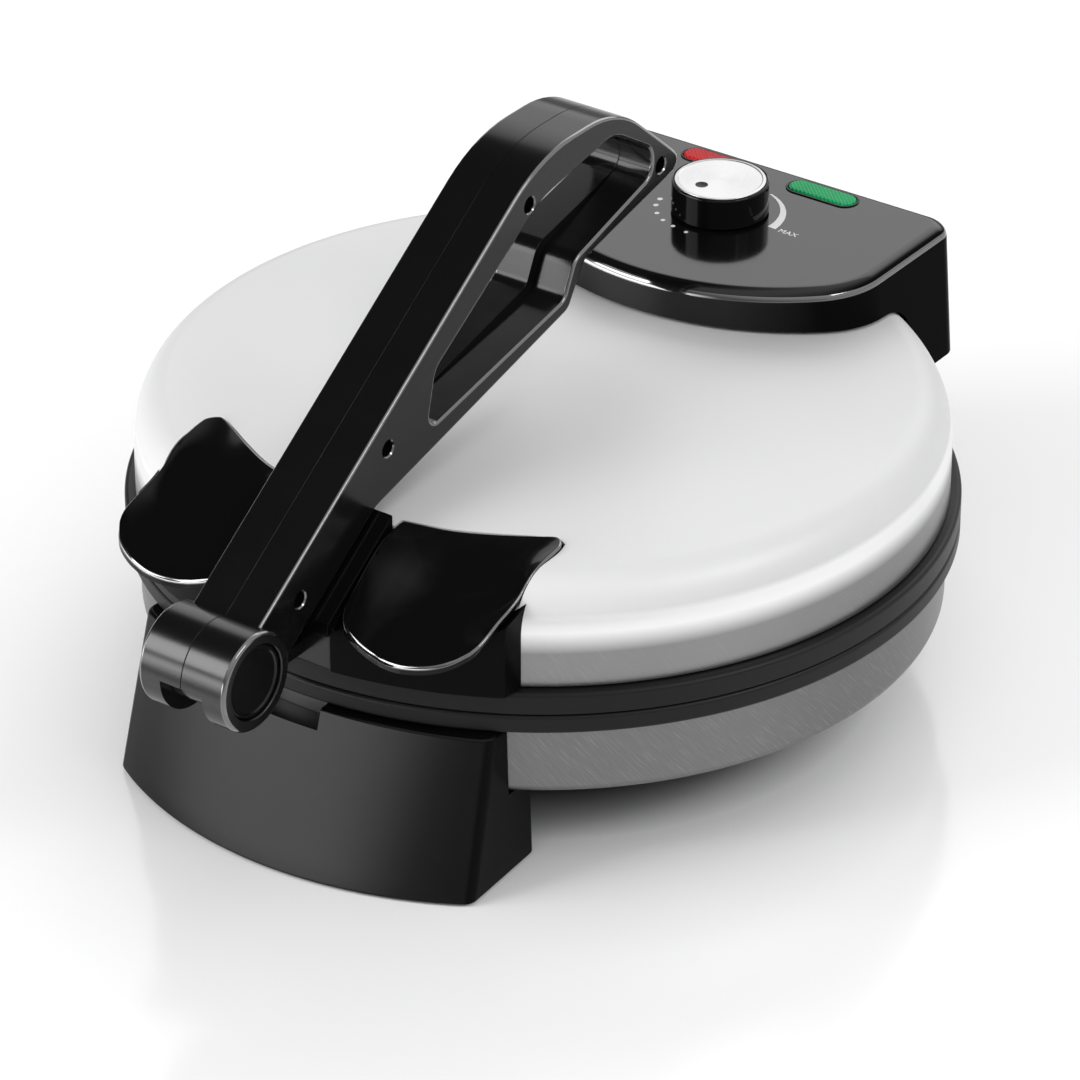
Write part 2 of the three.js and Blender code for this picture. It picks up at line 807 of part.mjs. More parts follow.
// A wing's surface: a patch between four curves, thickened up and down and widened at its edges
function wingPatch(side, below, above, widen) {
  const point = ([out, forward, drop]) => new THREE.Vector3(
    wingInner + wingSpan * out,
    -wingRear - wingDepth * forward,
    wingTop - wingDrop * drop,
  );
  const curve = (shares) => new THREE.CatmullRomCurve3(shares.map(point), false, 'centripetal');
  const rear = curve(wingRearShares);
  const outer = curve(wingOuterShares);
  const front = curve(wingFrontShares);
  const inner = curve(wingInnerShares);
  const corner = [rear.getPoint(0), rear.getPoint(1), front.getPoint(0), front.getPoint(1)];
  const rows = [];
  for (let j = 0; j <= wingSteps; j += 1) {
    const v = j / wingSteps;
    const row = [];
    for (let i = 0; i <= wingSteps; i += 1) {
      const u = i / wingSteps;
      const ruled = rear.getPointAt(u).multiplyScalar(1 - v).addScaledVector(front.getPointAt(u), v);
      ruled.addScaledVector(inner.getPointAt(v), 1 - u).addScaledVector(outer.getPointAt(v), u);
      ruled.addScaledVector(corner[0], -(1 - u) * (1 - v)).addScaledVector(corner[1], -u * (1 - v));
      ruled.addScaledVector(corner[2], -(1 - u) * v).addScaledVector(corner[3], -u * v);
      ruled.z -= wingScoop * Math.sin(Math.PI * u) * Math.sin(Math.PI * v);
      row.push(ruled);
    }
    rows.push(row);
  }
  if (widen > 0) {
    const past = (edge, next) => edge.clone().sub(next).setLength(widen).add(edge);
    rows.forEach((row) => {
      row.unshift(past(row[0], row[1]));
      row.push(past(row.at(-1), row.at(-2)));
    });
    rows.unshift(rows[0].map((p, i) => past(p, rows[1][i])));
    rows.push(rows.at(-1).map((p, i) => past(p, rows.at(-2)[i])));
  }
  return sheetSolid(rows, side, below, above);
}

// A closed slab between a grid of points lowered and the same grid raised
function sheetSolid(rows, side, below, above) {
  const width = rows[0].length;
  const count = rows.length * width;
  const positions = [];
  [below, above].forEach((shift) => {
    rows.flat().forEach((p) => positions.push(side * p.x, p.y, p.z + shift));
  });
  const indices = [];
  const quad = (a, b, c, d) => {
    const face = side > 0 ? [a, b, c, a, c, d] : [a, c, b, a, d, c];
    indices.push(...face);
  };
  for (let j = 0; j + 1 < rows.length; j += 1) {
    for (let i = 0; i + 1 < width; i += 1) {
      const a = j * width + i;
      quad(a, a + 1, a + width + 1, a + width);
      quad(a + count, a + width + count, a + width + 1 + count, a + 1 + count);
    }
  }
  for (let i = 0; i + 1 < width; i += 1) {
    const end = (rows.length - 1) * width + i;
    quad(i, i + count, i + 1 + count, i + 1);
    quad(end, end + 1, end + 1 + count, end + count);
  }
  for (let j = 0; j + 1 < rows.length; j += 1) {
    const start = j * width;
    const end = start + width - 1;
    quad(start, start + width, start + width + count, start + count);
    quad(end, end + count, end + width + count, end + width);
  }
  const geometry = new THREE.BufferGeometry();
  geometry.setAttribute('position', new THREE.Float32BufferAttribute(positions, 3));
  geometry.setIndex(indices);
  return solid(geometry);
}

// The height of the lever's underside over the lid's front at rest
const armUnderside = (y) => pivotHeight + armSlope * (y + pivotReach) - armUnder * Math.hypot(1, armSlope);

// The sloping saddle between the wings, in which the lever's arm lies
function saddle(halfWidth, under, over) {
  const line = (y, shift) => new THREE.Vector2(y, armUnderside(y) - troughClearance + shift);
  return extrudeX([
    line(-troughRear, -troughFloor - under),
    line(-troughRear, over),
    line(-apronRadius, over),
    line(-apronRadius, -troughFloor - under),
  ], -halfWidth, halfWidth);
}

function frontBracket() {
  const skin = cut(lidEnvelope(apronRadius - lidShellRadius), lidEnvelope(gap));
  const front = block(
    -apronHalfWidth,
    apronHalfWidth,
    -ringRadius * 2,
    -apronRearReach,
    lidShellBottom + gap,
    apronTop,
  );
  const channel = block(
    -channelHalfWidth,
    channelHalfWidth,
    -ringRadius * 2,
    -wingRear,
    0,
    armUnderside(-apronRadius) - troughClearance,
  );
  const wings = [-1, 1].map((side) => wingPatch(side, -wingSheet - gap, overrun * 4, overrun * 2));
  const apron = cut(skin.intersect(front), channel, saddle(saddleHalfWidth, -troughFloor / 2, overrun * 4));
  const bed = saddle(saddleHalfWidth, 0, 0);
  const middle = wingInner - gap;
  const strip = block(-middle, middle, -ringRadius * 2, 0, 0, ringRadius);
  return cut(join(apron, bed), ...wings.map((room) => cut(room, strip)));
}

const wing = (side) => wingPatch(side, -wingSheet, 0, 0);

function restPad() {
  const middle = (troughRear + apronRadius) / 2;
  const line = (y, shift) => new THREE.Vector2(y, armUnderside(y) + shift);
  return extrudeX([
    line(-middle - restPadLength / 2, gap - troughClearance),
    line(-middle + restPadLength / 2, gap - troughClearance),
    line(-middle + restPadLength / 2, -gap),
    line(-middle - restPadLength / 2, -gap),
  ], -restPadHalfWidth, restPadHalfWidth);
}

// Lever bracket: a plate in the apron's channel with the lug and the eye that the barrel turns on
function leverBracket() {
  const face = -lidShellRadius - lugPlate;
  const bottom = lidShellBottom + gap;
  const half = channelHalfWidth - gap;
  const back = block(-half, half, face, -lidShellRadius + lugPlate * 2, bottom, lugPlateTop);
  const lugEnds = [pivotHeight - lugBottom, pivotHeight - lugTop];
  const lug = block(-eyeHalfWidth, eyeHalfWidth, -pivotReach, face + lugPlate / 2, ...lugEnds);
  const eye = rodX(eyeRadius, -eyeHalfWidth, eyeHalfWidth, -pivotReach, pivotHeight, hiddenSteps / 2);
  const bore = rodX(pivotPinRadius + gap, -leverHalfWidth, leverHalfWidth, -pivotReach, pivotHeight);
  return cut(join(cut(back, lidEnvelope(gap)), lug, eye), bore);
}

// Control housing: a bowed hood over the lid's rear, open below
function hoodOutline(halfWidth, inset) {
  const front = housingFront + inset;
  const rear = housingRear - inset;
  const half = halfWidth - inset;
  const bowCentre = housingFront + housingFrontRadius;
  const bowRadius = housingFrontRadius - inset;
  const blend = housingCornerRadius - inset;
  const reach = bowRadius - blend;
  const across = half - blend;
  const blendCentre = bowCentre - Math.sqrt(reach * reach - across * across);
  const meet = Math.atan2(across, bowCentre - blendCentre);
  const points = [];
  for (let k = -hoodSteps; k <= hoodSteps; k += 1) {
    const angle = meet * k / hoodSteps;
    points.push(new THREE.Vector2(bowRadius * Math.sin(angle), bowCentre - bowRadius * Math.cos(angle)));
  }
  const right = [];
  for (let k = 1; k <= hoodSteps; k += 1) {
    const angle = meet + (Math.PI / 2 - meet) * k / hoodSteps;
    right.push(new THREE.Vector2(across + blend * Math.sin(angle), blendCentre - blend * Math.cos(angle)));
  }
  const corner = housingRearRadius - inset / 2;
  for (let k = 0; k <= cornerSteps; k += 1) {
    const angle = k / cornerSteps * Math.PI / 2;
    const x = half - corner + corner * Math.cos(angle);
    right.push(new THREE.Vector2(x, rear - corner + corner * Math.sin(angle)));
  }
  const left = right.map((p) => new THREE.Vector2(-p.x, p.y)).reverse();
  return [...points, ...right, ...left];
}

function hoodSolid(wall) {
  const low = wall > 0 ? housingBottom - overrun : housingBottom;
  const wide = housingHalfWidth + housingDraft;
  const round = [0, 1, 2].map((k) => k / 2 * Math.PI / 2);
  const edge = round.map((angle) => [
    hoodOutline(housingHalfWidth, wall + housingEdge * (1 - Math.cos(angle))),
    housingTop - wall - housingEdge * (1 - Math.sin(angle)),
  ]);
  return loft([[hoodOutline(wide, wall), low], ...edge]);
}

function lensOutline(side, clear) {
  const radius = lensWidth / 2 + clear;
  const straight = (lensLength - lensWidth) / 2;
  const points = [];
  [1, -1].forEach((end) => {
    for (let k = 0; k <= 2 * cornerSteps; k += 1) {
      const angle = (k / (2 * cornerSteps) - end / 2) * Math.PI;
      const x = side * lensAcross + end * straight + radius * Math.cos(angle);
      points.push(new THREE.Vector2(x, lensReach + radius * Math.sin(angle)));
    }
  });
  return points;
}

function controlHousing() {
  const bush = rodZ(bushRadius + gap, housingTop - overrun, housingTop + overrun, 0, knobReach);
  const lenses = [-1, 1].map((side) => loft([
    [lensOutline(side, gap), housingTop - overrun],
    [lensOutline(side, gap), housingTop + overrun],
  ]));
  return cut(hoodSolid(0), hoodSolid(housingWall), lidEnvelope(housingClearance), bush, ...lenses);
}

function hingeArm(side) {
  const ends = ordered(side * lidKnuckleStart, side * lidKnuckleEnd);
  const plateEnds = ordered(side * (lidKnuckleStart - coverMargin), side * armPlateEnd);
  const top = housingBottom - gap;
  const rear = hingeReach + armThickness / 2;
  const cover = block(...plateEnds, lidShellRadius - coverMargin, rear, top - coverPlate, top);
  return cut(join(knuckle(...ends, top), cut(cover, lidEnvelope(gap))), hingeBore());
}

const lens = (side) => loft([
  [lensOutline(side, 0), housingTop - housingWall - lensBelow],
  [lensOutline(side, 0), housingTop + lensProud / 2],
  [lensOutline(side, -lensProud), housingTop + lensProud],
]);

const lamp = (side) => {
  const z = housingTop - housingWall - lensBelow - gap - lampRadius;
  const middle = side * lensAcross;
  return rodX(lampRadius, middle - lampLength / 2, middle + lampLength / 2, lensReach, z, studSteps);
};

function thermostat() {
  const { across, deep, tall } = thermostatSize;
  const top = housingTop - housingWall - gap;
  const body = block(-across / 2, across / 2, knobReach - deep / 2, knobReach + deep / 2, top - tall, top);
  const bush = rodZ(bushRadius, top - tall / 2, housingTop + knobStandOff, 0, knobReach);
  const bore = rodZ(shaftRadius + gap, shaftBottom - gap, housingTop + overrun, 0, knobReach);
  return cut(join(body, bush), bore);
}

const shaft = () => rodZ(shaftRadius, shaftBottom, shaftTop, 0, knobReach);

function knobBody() {
  const bottom = housingTop + knobStandOff;
  const capSeat = knobTop - knobCapHeight;
  const ceiling = capSeat - knobSkin;
  const body = lathe([
    [0, shaftTop + gap],
    [shaftRadius + gap, shaftTop + gap],
    [shaftRadius + gap, bottom + knobSkin],
    [knobHubRadius, bottom + knobSkin],
    [knobHubRadius, ceiling],
    [knobRadius - knobSkin, ceiling],
    [knobRadius - knobSkin, bottom],
    [knobRadius, bottom],
    [knobRadius, knobTop - knobEdge],
    [knobRadius - knobEdge, knobTop],
    [knobCapRadius + gap, knobTop],
    [knobCapRadius + gap, capSeat],
    [0, capSeat],
  ], hiddenSteps);
  return body.translate([0, knobReach, 0]);
}

function knobCap() {
  const bottom = knobTop - knobCapHeight + gap;
  const top = bottom + knobCapHeight;
  const disc = rodZ(knobCapRadius, bottom, top, 0, knobReach, hiddenSteps);
  const dimple = rodZ(
    knobDimpleRadius,
    (bottom + top) / 2,
    top + overrun,
    knobDimpleOffset * Math.cos(knobIndexAngle),
    knobReach + knobDimpleOffset * Math.sin(knobIndexAngle),
    studSteps,
  );
  return cut(disc, dimple);
}

// Lever: two mirrored halves that meet on the middle plane, screwed together round the eye
const leverPoint = ([along, up]) => [leverReach * along - pivotReach, leverRise * up + pivotHeight];

function leverOutline() {
  const over = armOver * Math.hypot(1, armSlope);
  const under = armUnder * Math.hypot(1, armSlope);
  const bendHeight = leverTopShares[0][1] * leverRise;
  const bend = (bendHeight - over) / armSlope;
  const barStart = leverReach * underBarShare;
  const corners = leverTopShares.map(([along, up, round]) => [...leverPoint([along, up]), leverRise * round]);
  corners[0][0] = bend - pivotReach;
  return roundedPoints([
    [-pivotReach, pivotHeight + over],
    ...corners,
    [barStart - pivotReach, pivotHeight + armSlope * barStart - under, armUnder],
    [armUnder - pivotReach, pivotHeight + armSlope * armUnder - under],
  ]);
}

const windowOutline = () => roundedPoints(
  windowShares.map(([along, up, round]) => [...leverPoint([along, up]), leverRise * round]),
);

function barrel() {
  const recess = barrelHalfLength - capRecess - capThickness - gap;
  const profile = [
    [0, -recess],
    [capRadius, -recess],
    [capRadius, -barrelHalfLength],
    [barrelRadius - barrelEdge, -barrelHalfLength],
    [barrelRadius, barrelEdge - barrelHalfLength],
    [barrelRadius, barrelHalfLength - barrelEdge],
    [barrelRadius - barrelEdge, barrelHalfLength],
    [capRadius, barrelHalfLength],
    [capRadius, recess],
    [0, recess],
  ];
  const points = profile.map(([r, z]) => new THREE.Vector2(r, z));
  const geometry = new THREE.LatheGeometry(points, hiddenSteps).rotateX(Math.PI / 2).rotateY(Math.PI / 2);
  return solid(geometry.translate(0, -pivotReach, pivotHeight));
}

// The slot in the barrel's underside, through which the lug passes as the lever swings
function lugSlot() {
  const points = [new THREE.Vector2(-pivotReach, pivotHeight)];
  for (let k = 0; k <= slotSteps; k += 1) {
    const degrees = -slotFrontAngle + (slotFrontAngle - slotRearAngle) * k / slotSteps;
    const angle = THREE.MathUtils.degToRad(degrees);
    const spoke = new THREE.Vector2(Math.cos(angle), Math.sin(angle)).multiplyScalar(barrelRadius + overrun);
    points.push(spoke.add(points[0]));
  }
  return extrudeX(points, -eyeHalfWidth - slotClearance, eyeHalfWidth + slotClearance);
}

function leverBody() {
  const arm = extrudeX(leverOutline(), -leverHalfWidth, leverHalfWidth, windowOutline(), leverBevel);
  const capPockets = [-1, 1].map((side) => {
    const floor = barrelHalfLength - capRecess - capThickness - gap;
    const ends = ordered(side * floor, side * barrelHalfLength * 2);
    return rodX(capRadius, ...ends, -pivotReach, pivotHeight, hiddenSteps);
  });
  const eyeRoom = rodX(
    eyeRadius + slotClearance,
    -eyeHalfWidth - slotClearance,
    eyeHalfWidth + slotClearance,
    -pivotReach,
    pivotHeight,
    hiddenSteps / 2,
  );
  const bore = rodX(pivotPinRadius + gap, -barrelHalfLength, barrelHalfLength, -pivotReach, pivotHeight);
  const screws = leverScrewShares.map((shares) => {
    const [y, z] = leverPoint(shares);
    const head = rodX(screwHoleRadius, screwHeadBottom - gap, barrelHalfLength * 2, y, z, studSteps);
    const shank = rodX(screwShankRadius + gap, screwTip - gap, screwHeadBottom, y, z, studSteps);
    return join(head, shank);
  });
  return cut(join(arm, barrel()), ...capPockets, eyeRoom, lugSlot(), bore, ...screws);
}

const leverWhole = leverBody();

function leverHalf(side) {
  const ends = ordered(side * leverParting, side * barrelHalfLength * 2);
  const far = leverReach * 2;
  return leverWhole.intersect(block(...ends, -far, far, -far, far));
}

function barrelCap(side) {
  const outer = barrelHalfLength - capRecess;
  const ends = ordered(side * (outer - capThickness), side * outer);
  return rodX(capRadius - gap, ...ends, -pivotReach, pivotHeight, hiddenSteps);
}

function pivotPin() {
  const end = barrelHalfLength - capRecess - capThickness - 2 * gap;
  return rodX(pivotPinRadius, -end, end, -pivotReach, pivotHeight);
}

function leverScrew(index) {
  const [y, z] = leverPoint(leverScrewShares[index]);
  const head = rodX(screwHeadRadius, screwHeadBottom, screwHeadBottom + screwHeadHeight, y, z, studSteps);
  const drive = block(
    screwHeadBottom + screwHeadHeight / 2,
    leverHalfWidth,
    y - screwHeadRadius * 2,
    y + screwHeadRadius * 2,
    z - screwSlot / 2,
    z + screwSlot / 2,
  );
  return join(cut(head, drive), rodX(screwShankRadius, screwTip, screwHeadBottom, y, z, studSteps));
}

// The scene graph: fixed base, then the lid with what it carries, the knob and the lever
const appliance = new THREE.Group();
const base = new THREE.Group();
const lid = new THREE.Group();
const knob = new THREE.Group();
const lever = new THREE.Group();
appliance.add(base, lid);
lid.add(knob, lever);

function place(group, name, shape, material) {
  const mesh = new THREE.Mesh(geometryOf(shape), material);
  mesh.name = name;
  group.add(mesh);
}

place(base, 'base_shell', baseShell(), steel);
place(base, 'base_ring', baseRing(), ringPlastic);
place(base, 'lower_plate', plate(lowerPlateBottom), castPlate);
place(base, 'lower_heater', heater(lowerPlateBottom - gap - heaterHeight), heaterMetal);
place(base, 'lower_reflector', reflector(lowerReflectorBottom, 1), darkSteel);
for (let i = 0; i < studCount; i += 1) {
  const shape = stud(i, coverTop + gap, lowerReflectorBottom - gap, lowerPlateBottom - gap);
  place(base, `lower_stud_${i + 1}`, shape, darkSteel);
}
place(base, 'base_cover', baseCover(), satinBlack);
place(base, 'front_foot', frontFoot(), glossBlack);
place(base, 'front_pad_left', pad(-footPadAcross, -footPadReach), rubber);
place(base, 'front_pad_right', pad(footPadAcross, -footPadReach), rubber);
place(base, 'rear_housing', rearHousing(), glossBlack);
place(base, 'rear_pad_left', pad(-rearPadAcross, rearPadReach), rubber);
place(base, 'rear_pad_right', pad(rearPadAcross, rearPadReach), rubber);
place(base, 'cord_inlet', cordInlet(), rubber);
place(base, 'terminal_block', terminalBlock(), ceramic);
place(base, 'hinge_pin', hingePin(), darkSteel);

place(lid, 'lid_shell', lidShell(), steel);
place(lid, 'lid_ring', lidRing(), ringPlastic);
place(lid, 'upper_plate', plate(upperPlateBottom), castPlate);
place(lid, 'upper_heater', heater(upperPlateTop + gap), heaterMetal);
place(lid, 'upper_reflector', reflector(upperReflectorBottom, -1), darkSteel);
for (let i = 0; i < studCount; i += 1) {
  const shoulder = upperReflectorBottom + reflectorSheet + gap;
  const shape = stud(i, lidRimTop - shellSheet - gap, shoulder, upperPlateTop + gap);
  place(lid, `upper_stud_${i + 1}`, shape, darkSteel);
}
place(lid, 'front_bracket', frontBracket(), satinBlack);
place(lid, 'wing_left', wing(-1), glossBlack);
place(lid, 'wing_right', wing(1), glossBlack);
place(lid, 'lever_bracket', leverBracket(), satinBlack);
place(lid, 'lever_rest_pad', restPad(), rubber);
place(lid, 'control_housing', controlHousing(), glossBlack);
place(lid, 'hinge_arm_left', hingeArm(-1), satinBlack);
place(lid, 'hinge_arm_right', hingeArm(1), satinBlack);
place(lid, 'red_lens', lens(-1), redLight);
place(lid, 'green_lens', lens(1), greenLight);
place(lid, 'red_lamp', lamp(-1), glass);
place(lid, 'green_lamp', lamp(1), glass);
place(lid, 'thermostat', thermostat(), darkSteel);

place(knob, 'thermostat_shaft', shaft(), darkSteel);
place(knob, 'knob_body', knobBody(), glossBlack);
place(knob, 'knob_cap', knobCap(), silver);

place(lever, 'lever_left', leverHalf(-1), glossBlack);
place(lever, 'lever_right', leverHalf(1), glossBlack);
place(lever, 'barrel_cap_left', barrelCap(-1), glossBlack);
place(lever, 'barrel_cap_right', barrelCap(1), glossBlack);
place(lever, 'pivot_pin', pivotPin(), darkSteel);
leverScrewShares.forEach((shares, i) => place(lever, `lever_screw_${i + 1}`, leverScrew(i), darkSteel));

// The origin goes to the middle of the footprint, on the table
const extent = new THREE.Box3().setFromObject(appliance);
appliance.position.y = -(extent.min.y + extent.max.y) / 2;

export default appliance;
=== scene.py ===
import math
import bmesh
import bpy
from mathutils import Matrix, Vector
from mathutils.geometry import tessellate_polygon


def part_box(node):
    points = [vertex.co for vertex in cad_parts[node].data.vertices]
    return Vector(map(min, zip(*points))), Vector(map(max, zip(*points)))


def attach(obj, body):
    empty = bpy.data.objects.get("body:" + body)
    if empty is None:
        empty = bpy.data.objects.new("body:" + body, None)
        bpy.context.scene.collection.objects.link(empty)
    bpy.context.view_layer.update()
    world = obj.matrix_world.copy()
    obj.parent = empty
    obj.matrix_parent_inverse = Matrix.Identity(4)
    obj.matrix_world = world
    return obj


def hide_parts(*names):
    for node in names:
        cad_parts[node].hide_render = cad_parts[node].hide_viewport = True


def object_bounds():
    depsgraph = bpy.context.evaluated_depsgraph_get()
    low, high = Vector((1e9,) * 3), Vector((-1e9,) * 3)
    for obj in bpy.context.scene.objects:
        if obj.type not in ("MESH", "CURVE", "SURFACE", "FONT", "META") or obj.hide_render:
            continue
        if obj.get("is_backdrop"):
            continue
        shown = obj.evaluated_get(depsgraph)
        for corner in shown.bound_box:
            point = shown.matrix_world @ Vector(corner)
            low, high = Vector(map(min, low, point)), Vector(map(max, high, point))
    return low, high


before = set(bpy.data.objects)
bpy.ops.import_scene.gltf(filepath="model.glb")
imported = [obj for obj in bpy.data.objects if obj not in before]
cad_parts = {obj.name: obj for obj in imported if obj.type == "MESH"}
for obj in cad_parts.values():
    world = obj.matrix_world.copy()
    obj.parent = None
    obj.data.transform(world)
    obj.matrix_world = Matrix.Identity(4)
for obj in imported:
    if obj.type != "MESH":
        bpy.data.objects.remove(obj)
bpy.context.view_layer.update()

# Lengths below are millimetres on the round body's own axis; the table is at height 0
MM = 0.001
ring_low, ring_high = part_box("lid_ring")
SHIFT = (ring_low.y + ring_high.y) / 2
GAP = 0.3
PAST = 300
OVER = 10
SIDES = (("left", -1), ("right", 1))

# Steps round a circle
BODY_STEPS = 240
BARREL_STEPS = 160
KNOB_STEPS = 144
COVER_STEPS = 120
ROD_STEPS = 96
PAD_STEPS = 64
PIN_STEPS = 48
SCREW_STEPS = 40
DOT_STEPS = 32
ARC = math.radians(9)

# Body and lid
LID_R = 141.1
BASE_R = 140.4
SHEET = 1.2
FLANGE = 12.0
LIP = 0.3
BASE_LOW = 31.0
BASE_TOP = 57.1
BASE_CORNER = 4.0
LID_LOW = 73.0
SHOULDER_Z = 91.5
SHOULDER_W = 14.0
SHOULDER_H = 20.0
SHOULDER_END = 87.5
CROWN = 4.0
RIM_R = LID_R - SHOULDER_W
# Heights in metres: painted shade on the side wall gives way to a painted highlight band, then the
# top
PAINTED_SHADE_TO_HIGHLIGHT = (0.0855, 0.0938)
PAINTED_HIGHLIGHT_TO_TOP = (0.0972, 0.0995)
BASE_RING = [(128.5, 57.4, 0.6), (145, 57.4, 1.2), (145, 64.2, 1.6), (137.4, 64.2, 0.4),
             (128.5, 64.2, 0.6)]
LID_RING = [(128.5, 64.5, 0.3), (145, 64.5, 0.9), (145, 72.7, 1.7), (120.5, 72.7, 0.3),
            (120.5, 71, 0.3), (128.5, 71, 0.3)]
PLATE_R = 128.1
PLATE_THICK = 4.6
PLATE_EDGE = 0.8
PLATES = [("plate_low", "lower_plate", 59.3, "base"), ("plate_high", "upper_plate", 65.9, "lid")]

# Front foot
FOOT_REACH = 166.0
FOOT_CORNER_R = 5.0
FOOT_SIZES = [(74.3, 72.5), (FOOT_REACH, 148.0), (145.0, 130.5)]
FOOT_REAR = 106.0
FOOT_REAR_R = 2.5
FOOT_TAPER = 2.3
FOOT_EDGE = 1.5
FOOT_LOW = 0.8
FOOT_BOW_STEPS = 64
FOOT_LAYERS = 8
FOOT_SILL = [(0, 1.0, 0), (0, 0.3, 0.3), (0.02, 0, 1.0)]
FOOT_POCKET = (-50, 50, -143, -111, -5, 26)
NOTCH = (-15, 15, -FOOT_REACH, 4 - BASE_R, BASE_TOP - 7.5, BASE_TOP + 6)

# Pads under both feet
PAD = [(0, 0.5, 0), (3.5, 0.5, 0.2), (4.2, 0, 0.4), (7, 0, 0.8), (7, 3, 0.3), (0, 3, 0)]
FRONT_PADS = {"front_pad_left": (-62.3, -128), "front_pad_right": (62.3, -128)}
REAR_PADS = {"rear_pad_left": (-50, 151), "rear_pad_right": (50, 151)}
PIT = (7.3, -2.0, 3.3)

# Rear housing, hinge and cord inlet
REAR_HALF = 62.0
REAR_FRONT = 115.0
REAR_BACK = 163.0
REAR_CORNER = 9.0
REAR_EDGE = 2.25
REAR_LOW_POCKET = (-42, 42, 119, 159, -5, 27)
REAR_HIGH_POCKET = (-42, 42, 144.4, 159, 0, 53.1)
INLET = [(3.7, 154.5, 0), (6.4, 154.5, 0.2), (6.4, 163.3, 0), (9, 163.3, 0.3), (9, 164.9, 0.7),
         (3.7, 164.9, 0.5)]
INLET_X = 34.0
INLET_Z = 24.0
INLET_HOLE = (6.8, 155, 168)
HINGE_Y = 152.0
HINGE_Z = 66.0
HINGE_ROD = (2.45, -54.5, 54.5)
KNUCKLE_R = 6.0
KNUCKLE_BORE = 2.8
KNUCKLE_MIDDLE = 26.0
KNUCKLE_OUTER = (46.6, 54.6)
KNUCKLE_ARM = (26.3, 46.3)
KNUCKLE_EDGE = 0.5
BASE_WEB_FOOT = 54.0
LID_WEB_FOOT = 79.5
WEB_DEPTH = 3.5
WEB_SINK = 4.4
WEB_SIDE = 0.1
HINGE_COVER = (23.3, 58.3)
HINGE_COVER_BOX = (138.1, 155.5, 78.7, 80.7)

# Front bracket and wings
APRON_R = 149.0
APRON_HALF = 76.0
APRON_TOP = 108.0
APRON_REAR = 100.0
APRON_POINTS = 24
APRON_OVER = 20.0
APRON_WIDEN = 25.0
CHANNEL_HALF = 20.0
CHANNEL_REAR = 90.0
SADDLE_HALF = 24.0
TROUGH_FLOOR = 5.0
TROUGH_CLEAR = 1.5
TROUGH_REAR = 113.0
WING_IN = 20.9
BED_HALF = WING_IN - 0.7
WING_SPAN = 53.0
WING_REAR = 89.3
WING_DEPTH = 64.2
WING_TOP = 114.1
WING_DROP = 25.3
WING_SCOOP = 2.5
WING_SHEET = 3.2
WING_LIP = 1.1
WING_LIP_STEPS = 6
WING_UNDER_LIP = 0.4
WING_GRID = 36
WING_BORDER_STEPS = 40
WING_TOP_LOOPS = (0.15, 0.4, 0.6, 0.75, 0.85, 0.92, 0.96)
WING_UNDER_LOOPS = (0.85, 0.5, 0.15)
WING_CORNERS = [(0, 0, 0.02), (1, 0, 0.07), (1, 1, 0), (0, 1, 0.07)]
WING_REAR_EDGE = [(0, 0.307, 0.055), (0.308, 0.241, 0.055), (0.592, 0.132, 0.055),
                  (0.808, 0.036, 0.043), (0.917, 0, 0.02), (0.983, 0.019, 0)]
WING_OUTER_EDGE = [(0.983, 0.019, 0), (1, 0.084, 0.02), (1, 0.252, 0.083), (1, 0.33, 0.154),
                   (1, 0.419, 0.32), (1, 0.508, 0.415), (1, 0.597, 0.478), (1, 0.763, 0.628),
                   (0.972, 0.822, 0.707)]
WING_FRONT_EDGE = [(0.01, 0.836, 0.735), (0.095, 0.914, 0.826), (0.219, 0.955, 0.913),
                   (0.336, 0.972, 0.976), (0.464, 0.995, 0.984), (0.604, 1, 0.957),
                   (0.777, 0.961, 0.893), (0.894, 0.905, 0.806), (0.972, 0.822, 0.707)]
WING_INNER_EDGE = [(0, 0.307, 0.055), (0, 0.447, 0.1), (0, 0.579, 0.285), (0.005, 0.712, 0.518),
                   (0.01, 0.836, 0.735)]

# Control housing, lights, dial and knob
HOOD_TOP = 130.3
HOOD_LOW = 81.0
HOOD_FRONT = 51.5
HOOD_REAR = 151.0
HOOD_HALF = 72.6
HOOD_DRAFT = 3.4
HOOD_BOW = 90.0
HOOD_CORNER = 32.0
HOOD_REAR_R = 9.0
HOOD_EDGE = 5.0
HOOD_WALL = 2.6
HOOD_CLEAR = 1.2
HOOD_STEPS = 28
HOOD_RIM_TILT = (0.25, 0.62)
SHAFT_HOLE = 4.9
LENS_Y = 140.4
LENS_X = 22.7
LENS_LONG = 27.5
LENS_WIDE = 9.0
LENS_SINK = 3.5
LENS_TOP = 0.95
LENS_RISE = 0.85
LENS_ROUND = 0.9
LENS_GAP = 0.1
LENS_ROOM = 0.3
BEZEL = [(0.95, 0.02), (0.95, 0.25), (0.75, 0.42), (0.35, 0.42), (0.12, 0.22), (0.12, 0.02)]
PRINT = (HOOD_TOP - 0.02, HOOD_TOP + 0.06)
DIAL_DOTS = [(-0.3, 87.4), (-6.7, 88.6), (-12.2, 90.4), (-17, 93.7), (-20.9, 98.7), (-22.4, 103.5)]
DIAL_DOT_R = 0.75
DIAL_DOT_GROWTH = 0.05
DIAL_ARC_R = 22.5
DIAL_ARC_TURN = (70, -72)
DIAL_ARC_HALF = (0.35, 1.35)
DIAL_ARC_STEPS = 32
DIAL_WORD = (29.5, 107.5, HOOD_TOP + 0.03)
DIAL_WORD_SIZE = 3.6
DIAL_WORD_THICK = 0.03
KNOB_Y = 108.4
KNOB_ANGLE = math.radians(-110)
KNOB_SKIRT = [(0, 139, 0), (3.3, 139, 0), (3.3, 133.4, 0), (6, 133.4, 0), (6, 138.4, 0),
              (15.3, 138.4, 0.5), (15.3, 131.2, 0.3), (17.5, 131.2, 0.4), (17.35, 142.6, 0.9),
              (16.75, 142.8, 0.25), (16.75, 141.6, 0), (0, 141.6, 0)]
